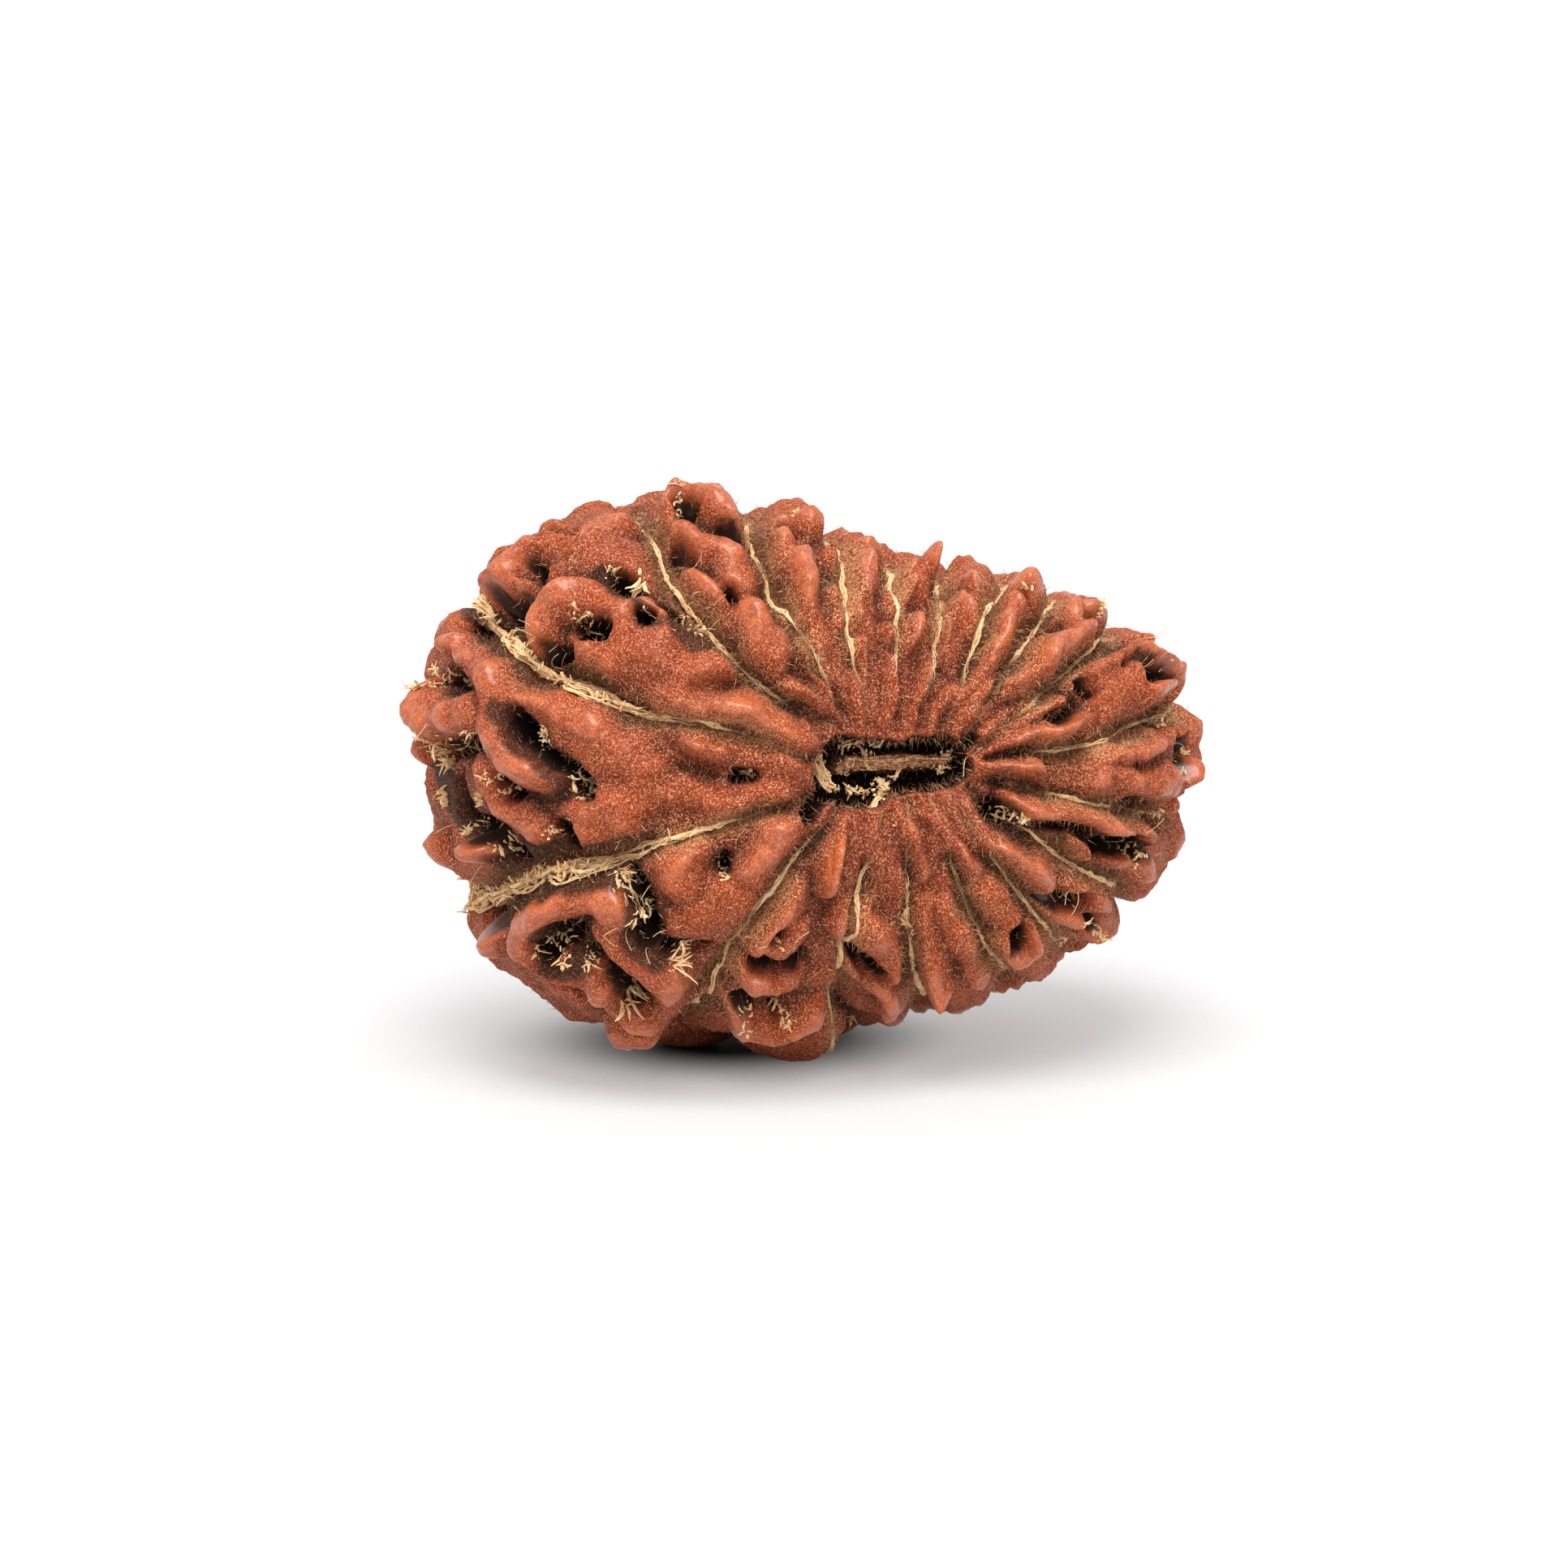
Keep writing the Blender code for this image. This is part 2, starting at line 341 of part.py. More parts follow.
# The hidden side: the seams' way to the stalk scar, and rows of knobs and pits in each lobe
SCAR_FALL = math.radians(168)
BACK_STEPS = 8
BACK_SWAY = 0.06
HIDDEN_SEED = 18
HIDDEN_ROWS = 6
HIDDEN_LIMIT = 0.08
HIDDEN_RISE = ((0.08, 0.5), (0.4, 1.0))

# Where the far side touches the plane that the bead lies on
RESTING_SPOTS = ((-1.4, -1.8), (2.0, 3.4), (-4.8, 2.6))
RESTING_RADIUS = 2.2
RESTING_DROP = 1.2
FLAT_CUT = 0.2


def view_axes():
    """Unit vectors of the front view in the row frame: to the right, up, and back towards the viewer."""
    sin_a, cos_a = math.sin(VIEW_AZIMUTH), math.cos(VIEW_AZIMUTH)
    sin_e, cos_e = math.sin(VIEW_ELEVATION), math.cos(VIEW_ELEVATION)
    right = np.array((cos_a, sin_a, 0.0))
    up = np.array((-sin_e * sin_a, sin_e * cos_a, cos_e))
    back = np.array((sin_a * cos_e, -cos_a * cos_e, sin_e))
    return np.array((right, up, back))


def bead_axes():
    """The bead's U, V and W as the rows of a matrix in the row frame."""
    return np.array((
        (1.0, 0.0, 0.0),
        (0.0, math.sin(LEAN), math.cos(LEAN)),
        (0.0, -math.cos(LEAN), math.sin(LEAN)),
    ))


def outline_radius(angle):
    """The form's radius at its girth, by a cubic through the radii in OUTLINE_RADII."""
    radii = np.array(OUTLINE_RADII)
    place = (angle / (2 * math.pi) % 1.0) * len(radii)
    k = np.floor(place).astype(int) % len(radii)
    t = place - np.floor(place)
    before, here, after, beyond = (np.take(radii, k + step, mode="wrap") for step in (-1, 0, 1, 2))
    slope_here, slope_after = (after - before) / 2, (beyond - here) / 2
    return (
        (2 * t**3 - 3 * t**2 + 1) * here
        + (t**3 - 2 * t**2 + t) * slope_here
        + (3 * t**2 - 2 * t**3) * after
        + (t**3 - t**2) * slope_after
    )


def form_radius(directions):
    """Distance from the bead's middle to the smooth form, for unit vectors in the bead's frame."""
    u, v, w = directions.T
    girth = np.hypot(u, v)
    across = girth / outline_radius(np.arctan2(v, u))
    radius = (across**FORM_POWER + (np.abs(w) / HALF_DEPTH) ** FORM_POWER) ** (-1 / FORM_POWER)
    return radius - DIMPLE_DEPTH * np.exp(-((girth * radius / DIMPLE_RADIUS) ** 2))


def unit(vectors):
    return vectors / np.linalg.norm(vectors, axis=-1, keepdims=True)


def on_form(directions):
    return form_radius(directions)[:, None] * directions


def above_form(points):
    """How far points lie outside the form, along their own radii."""
    distance = np.linalg.norm(points, axis=1)
    return distance - form_radius(points / distance[:, None])


def form_normals(points):
    """The way straight out of the form at points on or near it."""
    here = above_form(points)
    return unit(np.stack([above_form(points + step) - here for step in SLOPE_STEP * np.eye(3)], 1))


def sight_line(x, y):
    """Points along the front view's line of sight at x, y: the form's directions under them, and
    how high above the form they are."""
    right, up, back = view_axes() @ bead_axes().T
    eye = VIEW_DISTANCE * back
    sight = unit(x * right + y * up - eye)
    steps = np.arange(VIEW_DISTANCE - SIGHT_NEAR, VIEW_DISTANCE + SIGHT_FAR, SIGHT_STEP)
    points = eye + steps[:, None] * sight
    normals = form_normals(points)
    heights = above_form(points) * (normals * unit(points)).sum(1)
    return unit(points - heights[:, None] * normals), heights


def seen_at(x, y, height):
    """Direction of the spot on the form under what the front view shows at x, y, height above it."""
    under, heights = sight_line(x, y)
    inside = np.nonzero(heights < height)[0]
    return under[inside[0] if len(inside) else np.argmin(heights)]


def seen_on_skin(places, strokes):
    """Directions of the spots that the front view shows at each x, y, on a skin with these strokes."""
    lines = [sight_line(x, y) for x, y in places]
    close = [(under[heights < SKIN_TOP], heights[heights < SKIN_TOP]) for under, heights in lines]
    skin = relief(np.vstack([under for under, _ in close]), strokes)
    spots = []
    start = 0
    for (under, heights), (all_under, all_heights) in zip(close, lines):
        inside = np.nonzero(heights < skin[start:start + len(heights)])[0]
        spots.append(under[inside[0]] if len(inside) else all_under[np.argmin(all_heights)])
        start += len(heights)
    return np.array(spots)


def smooth_path(corners, per_span=4):
    """A Catmull-Rom curve through directions, as unit vectors."""
    if len(corners) < 3:
        return np.array(corners)
    ends = np.vstack((2 * corners[0] - corners[1], corners, 2 * corners[-1] - corners[-2]))
    steps = np.linspace(0, 1, per_span, endpoint=False)[:, None]
    spans = []
    for a, b, c, d in zip(ends, ends[1:], ends[2:], ends[3:]):
        bend = (2 * a - 5 * b + 4 * c - d) * steps**2 + (3 * b - a - 3 * c + d) * steps**3
        spans.append(0.5 * (2 * b + (c - a) * steps + bend))
    return unit(np.vstack((*spans, corners[-1])))


def ripple(points, wavelength, seed, waves=14):
    """A smooth random value from about -1 to 1 at each point."""
    draw = np.random.default_rng(seed)
    turns = unit(draw.normal(size=(waves, 3))) * draw.uniform(0.6, 1.5, (waves, 1)) * 2 * math.pi / wavelength
    return np.sin(points @ turns.T + draw.uniform(0, 2 * math.pi, waves)).sum(1) / math.sqrt(waves)


def near_path(points, squares, path, reach):
    """Distance from each point to a path, no more than reach, and how far along it from 0 to 1."""
    best = np.full(len(points), reach)
    along = np.zeros(len(points))
    if len(path) == 1:
        path = np.vstack((path, path * 1.0001))
    lengths = np.linalg.norm(np.diff(path, axis=0), axis=1)
    starts = np.concatenate(((0.0,), np.cumsum(lengths)))
    for a, b, length, start in zip(path, path[1:], lengths, starts):
        middle = (a + b) / 2
        limit = reach + length / 2
        near = np.nonzero(squares - points @ (2 * middle) < limit**2 - middle @ middle)[0]
        spots = points[near]
        share = np.clip((spots - a) @ (b - a) / length**2, 0, 1)
        distance = np.linalg.norm(spots - a - share[:, None] * (b - a), axis=1)
        closer = distance < best[near]
        best[near[closer]] = distance[closer]
        along[near[closer]] = (start + share[closer] * length) / starts[-1]
    return best, along


def merge(a, b):
    """The higher of two rises from zero, rounded where they meet."""
    return (a**MERGE_POWER + b**MERGE_POWER) ** (1 / MERGE_POWER)


def seam_directions():
    """Each seam as one path, from the slot over the girth to the stalk scar at the back pole."""
    paths = []
    for corners in SEAMS:
        front = np.array([seen_at(x, y, 0.0) for x, y in corners])
        u, v, w = front[-1]
        angle, fall = math.atan2(v, u), math.acos(w)
        steps = np.linspace(0, 1, BACK_STEPS)[1:]
        falls = fall + (SCAR_FALL - fall) * steps
        turns = angle + BACK_SWAY * np.sin(steps * math.pi * 3 + 5 * angle)
        behind = np.stack((np.sin(falls) * np.cos(turns), np.sin(falls) * np.sin(turns), np.cos(falls)), 1)
        paths.append((smooth_path(np.vstack((front, behind))), len(front) / (len(front) + len(behind))))
    return paths


def turned_away(direction):
    """How far the form turns away from the front view at a spot, from -1 to 1."""
    normal = form_normals(on_form(direction[None, :]))[0]
    return -normal @ bead_axes() @ view_axes()[2]


def hidden_strokes(seams):
    """Knobs and pits of the side that the front view doesn't show, lobe by lobe."""
    draw = np.random.default_rng(HIDDEN_SEED)
    ridges, hollows = [], []
    for lobe, (left, share) in enumerate(seams):
        right = seams[(lobe + 1) % len(seams)][0]
        for row in range(HIDDEN_ROWS):
            along = share + (1 - share) * (row + 0.4 + draw.uniform(-0.25, 0.25)) / HIDDEN_ROWS
            a = left[int(along * (len(left) - 1))]
            b = right[int(along * (len(right) - 1))]
            width = np.linalg.norm(on_form(np.array((a, b)))[0] - on_form(np.array((a, b)))[1])
            late = row >= HIDDEN_ROWS - 2
            for side in (0.5,) if width < 2.2 else (0.28, 0.72):
                middle = unit(a + (b - a) * (side + draw.uniform(-0.08, 0.08)))
                ahead = unit(np.array((-middle[0] * middle[2], -middle[1] * middle[2], 1 - middle[2] ** 2)))
                aside = np.cross(middle, ahead)
                turn = draw.uniform(-0.9, 0.9) * (0.2 if late else 1.0)
                run = (math.cos(turn) * ahead + math.sin(turn) * aside) * draw.uniform(0.03, 0.09)
                half = min(1.3, max(0.6, 0.36 * width)) * draw.uniform(0.85, 1.2)
                rise = draw.uniform(0.6, 1.0) if not late else draw.uniform(0.4, 0.7)
                rise *= np.interp(turned_away(middle), *HIDDEN_RISE)
                ridges.append(("ridge", half, rise, unit(np.array((middle - run, middle, middle + run)))))
            if row < HIDDEN_ROWS - 2 and draw.uniform() < 0.55:
                spot = unit(a + (b - a) * draw.uniform(0.4, 0.6))
                spot = unit(spot + draw.normal(size=3) * 0.03)
                hollows.append(("pit", draw.uniform(0.35, 0.55), draw.uniform(1.4, 2.1), spot[None, :]))
    ridges = [stroke for stroke in ridges if turned_away(stroke[3][1]) > HIDDEN_LIMIT]
    return ridges, [pit for pit in hollows if turned_away(pit[3][0]) > HIDDEN_LIMIT]


def resting_level(points, squares):
    """Height of the low domes that the bead lies on, whose crowns reach a little below its plane."""
    level = np.full(len(points), -math.inf)
    for x, y in RESTING_SPOTS:
        down = (bead_axes() @ unit(np.array((x, y, -REST_HEIGHT))))[None, :]
        foot = in_row_frame(on_form(down))[0, 2]
        fall = -(form_normals(on_form(down)) @ bead_axes())[0, 2]
        distance, _ = near_path(points, squares, on_form(down), RESTING_RADIUS)
        dome = (foot + FLAT_CUT) / fall - RESTING_DROP * (distance / RESTING_RADIUS) ** 2
        level = np.where(distance < RESTING_RADIUS, np.maximum(level, dome), level)
    return level


def make_strokes():
    """Every stroke of the relief: the seams' paths, the ridges, and the hollows sunk between them."""
    seams = seam_directions()
    more_ridges, more_hollows = hidden_strokes(seams)
    ridges = [
        (kind, half, rise, smooth_path(np.array([seen_at(x, y, BODY_LEVEL + rise) for x, y in crest])))
        for kind, half, rise, *crest in RIDGES
    ]
    strokes = {"seams": [path for path, _ in seams], "ridges": ridges + more_ridges, "hollows": []}
    spots = seen_on_skin([place for _, _, _, *places in HOLLOWS for place in places], strokes)
    for kind, half, depth, *places in HOLLOWS:
        strokes["hollows"].append((kind, half, depth, smooth_path(spots[:len(places)])))
        spots = spots[len(places):]
    strokes["hollows"] += more_hollows
    return strokes


def warped(directions):
    """Points on the form, shifted about a little so that no stroke is quite even."""
    points = on_form(directions)
    shifts = [
        size * np.stack([ripple(points, length, seed + axis) for axis in range(3)], 1)
        for size, length, seed in WARPS
    ]
    return points + sum(shifts)


def relief(directions, strokes):
    """Height of the bead's skin above the form, in millimetres, for unit vectors in its frame."""
    points = warped(directions)
    squares = (points**2).sum(1)
    from_pole = np.degrees(np.arccos(np.clip(directions[:, 2], -1, 1)))
    gap = np.full(len(points), SEAM_REACH)
    for path in strokes["seams"]:
        gap = np.minimum(gap, near_path(points, squares, on_form(path), SEAM_REACH)[0])
    seam_width = np.interp(from_pole, *SEAM_WIDTHS)
    valley = np.exp(-((gap / seam_width) ** 2))
    level = BODY_LEVEL - np.interp(from_pole, *SEAM_DEPTHS) * valley
    knobs = np.zeros(len(points))
    for kind, half, rise, path in strokes["ridges"]:
        distance, along = near_path(points, squares, on_form(path), half)
        t = np.minimum(distance / half, 1)
        if kind == "swell":
            level += rise * (1 - t * t) ** 2
        elif kind == "thorn":
            knobs = merge(knobs, rise * (0.3 + 0.7 * along) * (1 - t) ** 1.2)
        else:
            along_rise = np.interp(along, *FINGER_RISE) if kind == "finger" else 1.0
            crest = FINGER_CREST if kind == "finger" else RIDGE_CREST
            knobs = merge(knobs, rise * along_rise * (1 - t**crest) ** 1.5)
    pits = np.zeros(len(points))
    for kind, half, depth, path in strokes["hollows"]:
        floor, brim = SLOT_WALL if kind == "slot" else PIT_WALL
        distance, _ = near_path(points, squares, on_form(path), brim * half)
        t = np.clip((distance / half - floor) / (brim - floor), 0, 1)
        sunk = depth * (1 - t * t * (3 - 2 * t))
        pits = pits - sunk if kind == "bar" else np.maximum(pits, sunk)
    size, length, seed = LUMPS
    knobs *= (1 - SEAM_CLEARING * valley) * (1 + size * ripple(points, length, seed))
    size, length, seed = WAVES
    level += size * ripple(points, length, seed)
    return np.maximum(level + knobs - pits, resting_level(points, squares))


def in_row_frame(points):
    """From the bead's frame to the row frame, standing on the plane at zero height."""
    return points @ bead_axes() + (0.0, 0.0, REST_HEIGHT)


def raise_ball(mesh):
    """Pushes the vertices of a ball out to the bead's skin."""
    place = np.empty(len(mesh.vertices) * 3)
    mesh.vertices.foreach_get("co", place)
    directions = unit(place.reshape(-1, 3))
    form = on_form(directions)
    heights = relief(directions, make_strokes())
    skin = in_row_frame(form + heights[:, None] * form_normals(form)) * MM
    mesh.vertices.foreach_set("co", skin.ravel())
    mesh.update()


def make_material(name, colour, roughness):
    material = bpy.data.materials.new(name)
    material.use_nodes = True
    shader = material.node_tree.nodes["Principled BSDF"]
    shader.inputs["Base Color"].default_value = (*colour, 1.0)
    shader.inputs["Roughness"].default_value = roughness
    return material


def new_collection(name):
    collection = bpy.data.collections.new(name)
    bpy.context.scene.collection.children.link(collection)
    return collection


def cut_flat(body, cutters):
    """Takes off what reaches below the plane that the bead lies on."""
    cutter_mesh = bpy.data.meshes.new("resting_plane")
    box = bmesh.new()
    bmesh.ops.create_cube(box, size=CUTTER_SIZE * MM)
    bmesh.ops.translate(box, verts=box.verts, vec=(0, 0, -CUTTER_SIZE / 2 * MM))
    box.to_mesh(cutter_mesh)
    box.free()
    cutter = bpy.data.objects.new("resting_plane", cutter_mesh)
    cutter.hide_render = True
    cutter.display_type = "WIRE"
    cutters.objects.link(cutter)
    cut = body.modifiers.new("flat spots", "BOOLEAN")
    cut.operation = "DIFFERENCE"
    cut.object = cutter


def make_bead(parts, cutters):
    """The whole stone as one body, thinned to a mesh whose faces follow the ridges and pits."""
    mesh = bpy.data.meshes.new("bead")
    ball = bmesh.new()
    bmesh.ops.create_icosphere(ball, subdivisions=BALL_SUBDIVISIONS, radius=1.0)
    ball.to_mesh(mesh)
    ball.free()
    raise_ball(mesh)
    mesh.shade_smooth()
    mesh.set_sharp_from_angle(angle=SHARP_ANGLE)
    mesh.materials.append(make_material("stone skin", (0.33, 0.11, 0.065), 0.55))
    bead = bpy.data.objects.new("bead", mesh)
    parts.objects.link(bead)
    thin = bead.modifiers.new("fewer faces", "DECIMATE")
    thin.ratio = BEAD_TRIANGLES / len(mesh.polygons)
    cut_flat(bead, cutters)


def main():
    for old in list(bpy.data.objects):
        bpy.data.objects.remove(old)
    parts = new_collection("rudraksha_bead")
    cutters = new_collection("cutters")
    make_bead(parts, cutters)


if __name__ == "__main__":
    main()
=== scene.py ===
"""The looks of an eighteen-faced rudraksha bead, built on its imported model.

Lengths are in millimetres and become metres where a mesh is made. The bead's own frame has U
along its length, V upwards and W out of the front pole. What the front view shows is placed by
where it is seen there: x to the right and y up, in millimetres from the bead's middle.
"""

import math

import bmesh
import bpy
import numpy as np
from mathutils import Matrix, Vector


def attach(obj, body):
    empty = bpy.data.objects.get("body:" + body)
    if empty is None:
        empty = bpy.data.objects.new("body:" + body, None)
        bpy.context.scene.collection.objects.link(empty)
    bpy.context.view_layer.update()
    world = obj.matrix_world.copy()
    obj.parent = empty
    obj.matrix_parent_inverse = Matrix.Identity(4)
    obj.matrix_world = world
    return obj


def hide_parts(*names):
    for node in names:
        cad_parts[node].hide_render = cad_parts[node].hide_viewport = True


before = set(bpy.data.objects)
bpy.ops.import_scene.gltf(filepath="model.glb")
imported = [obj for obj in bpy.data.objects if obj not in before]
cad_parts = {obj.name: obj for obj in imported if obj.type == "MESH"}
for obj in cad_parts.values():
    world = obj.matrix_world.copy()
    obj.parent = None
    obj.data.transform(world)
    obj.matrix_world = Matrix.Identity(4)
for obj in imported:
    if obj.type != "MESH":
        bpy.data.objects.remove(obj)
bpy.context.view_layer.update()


# The stone of the dried fruit: one woody body, ribbed by eighteen seams and folded into fingers,
# ridges, knobs and pits. A ball is pushed out to a smooth form and from there straight out by
# the height of the relief, which also tells the finish where the crests, grooves and pits are.

MM = 0.001

# Driving dimensions of the form under the relief
OUTLINE_RADII = (14.15, 11.65, 8.2, 8.75, 11.35, 13.7, 13.35, 13.0, 10.3, 8.6, 10.2, 12.6)  # every 30 degrees
HALF_DEPTH = 10.3
FORM_POWER = 2.3
DIMPLE_DEPTH = 1.1
DIMPLE_RADIUS = 4.2
SLOPE_STEP = 0.001

# How the bead lies, and where the front view is seen from
LEAN = math.radians(10)
REST_HEIGHT = 11.0
VIEW_AZIMUTH = math.radians(-20)
VIEW_ELEVATION = math.radians(10)
VIEW_DISTANCE = 300.0
SIGHT_NEAR = 20
SIGHT_FAR = 8
SIGHT_STEP = 0.04

# Heights of the relief above the form
BODY_LEVEL = 0.9
SEAM_WIDTHS = ((15, 40, 75, 150), (0.22, 0.34, 0.7, 0.5))
SEAM_DEPTHS = ((12, 25, 45, 80), (0.15, 0.5, 0.9, 1.2))
SEAM_REACH = 2.4
SEAM_CLEARING = 0.6
MERGE_POWER = 4
WARPS = ((0.11, 3.2, 1), (0.05, 1.0, 4))
LUMPS = (0.16, 1.7, 21)
WAVES = (0.06, 2.0, 22)
RIDGE_CREST = 2.6
FINGER_CREST = 1.7
FINGER_RISE = ((0, 0.35, 0.8, 1), (0.3, 0.95, 1, 0.75))
PIT_WALL = (0.25, 1.1)
SLOT_WALL = (0.75, 1.1)
SKIN_TOP = 3.5

# How far from the slot's pole the finish of the seams sets in, in degrees, and how it comes on
SEAM_START = ((16, 32), (0.8, 0.0))

# The seams, from the slot outwards, as the front view shows them
SEAMS = (
    (
        (-0.3, 0.3), (-1.8, 0.9), (-3.5, 1.5), (-5.3, 1.9), (-6.5, 2.2), (-8.2, 3.1), (-9.8, 3.4),
        (-10.4, 4.2), (-11.5, 5.0), (-12.2, 6.3),
    ),
    (
        (0.8, 1.5), (-0.3, 2.0), (-1.4, 2.7), (-2.6, 3.7), (-3.5, 4.6), (-4.5, 5.7), (-5.2, 6.8),
        (-5.7, 7.9), (-6.3, 9.0), (-6.6, 10.0),
    ),
    (
        (1.3, 1.6), (0.9, 2.3), (0.3, 3.4), (-0.3, 4.5), (-0.9, 5.4), (-1.4, 6.2), (-1.8, 7.3),
        (-2.2, 8.5), (-2.2, 9.4), (-1.9, 10.0),
    ),
    (
        (2.1, 1.5), (1.8, 2.5), (1.4, 3.7), (1.15, 4.9), (1.05, 5.9), (0.98, 7.1), (0.7, 8.2),
        (0.8, 8.6), (1.3, 9.2),
    ),
    ((3.0, 1.4), (3.0, 2.6), (2.95, 3.7), (2.9, 4.9), (2.85, 6.2), (3.1, 7.3), (3.3, 8.2)),
    ((4.1, 1.3), (4.4, 2.7), (4.6, 4.0), (4.85, 5.0), (4.97, 6.2), (5.1, 6.9), (5.9, 7.5)),
    ((5.0, 1.3), (5.5, 2.3), (5.9, 3.1), (6.2, 4.0), (6.6, 5.0), (7.1, 6.0), (7.8, 7.1)),
    ((5.9, 1.2), (6.4, 1.9), (7.0, 2.8), (7.6, 3.6), (8.2, 4.4), (8.8, 5.2), (9.3, 6.0), (9.8, 6.8)),
    ((6.4, 0.8), (7.1, 1.4), (8.1, 2.1), (8.9, 2.75), (10.1, 3.8), (11.0, 4.6), (11.8, 5.1), (12.3, 5.9)),
    (
        (6.8, 0.35), (8.0, 0.55), (9.3, 0.6), (10.3, 0.75), (11.3, 1.05), (12.0, 1.45), (13.2, 1.8),
        (14.3, 2.3), (15.0, 2.8),
    ),
    (
        (6.7, -0.4), (7.5, -0.7), (8.6, -0.95), (9.5, -1.05), (10.4, -1.3), (12.0, -1.5), (13.2, -1.8),
        (14.2, -1.8), (14.9, -1.3),
    ),
    (
        (6.1, -0.9), (6.8, -1.6), (8.2, -2.4), (9.1, -3.1), (10.1, -3.7), (11.0, -4.1), (12.0, -4.6),
        (12.8, -5.0),
    ),
    (
        (5.4, -1.1), (6.0, -2.1), (6.7, -3.1), (7.3, -3.8), (8.0, -4.7), (8.7, -5.5), (9.6, -6.7),
        (10.5, -7.2),
    ),
    ((4.5, -1.2), (5.0, -2.5), (5.5, -3.8), (5.9, -4.8), (6.3, -5.7), (7.0, -6.9), (7.7, -8.0)),
    ((3.6, -1.4), (3.6, -2.8), (3.65, -4.0), (3.85, -5.7), (4.05, -6.9), (4.3, -8.2), (4.6, -9.2)),
    (
        (2.5, -1.7), (2.2, -3.0), (1.9, -4.0), (1.55, -5.2), (1.35, -6.2), (1.0, -7.4), (0.85, -8.8),
        (1.1, -10.0),
    ),
    (
        (0.9, -1.5), (0.1, -2.5), (-0.6, -3.4), (-1.4, -4.5), (-2.2, -5.3), (-3.0, -6.5), (-3.4, -7.7),
        (-4.2, -9.0), (-5.0, -10.1),
    ),
    (
        (-0.1, -1.1), (-1.4, -1.6), (-2.8, -2.0), (-4.2, -2.4), (-5.6, -2.8), (-7.3, -3.4),
        (-9.0, -3.7), (-10.8, -4.3), (-12.0, -4.8), (-13.0, -4.7),
    ),
)

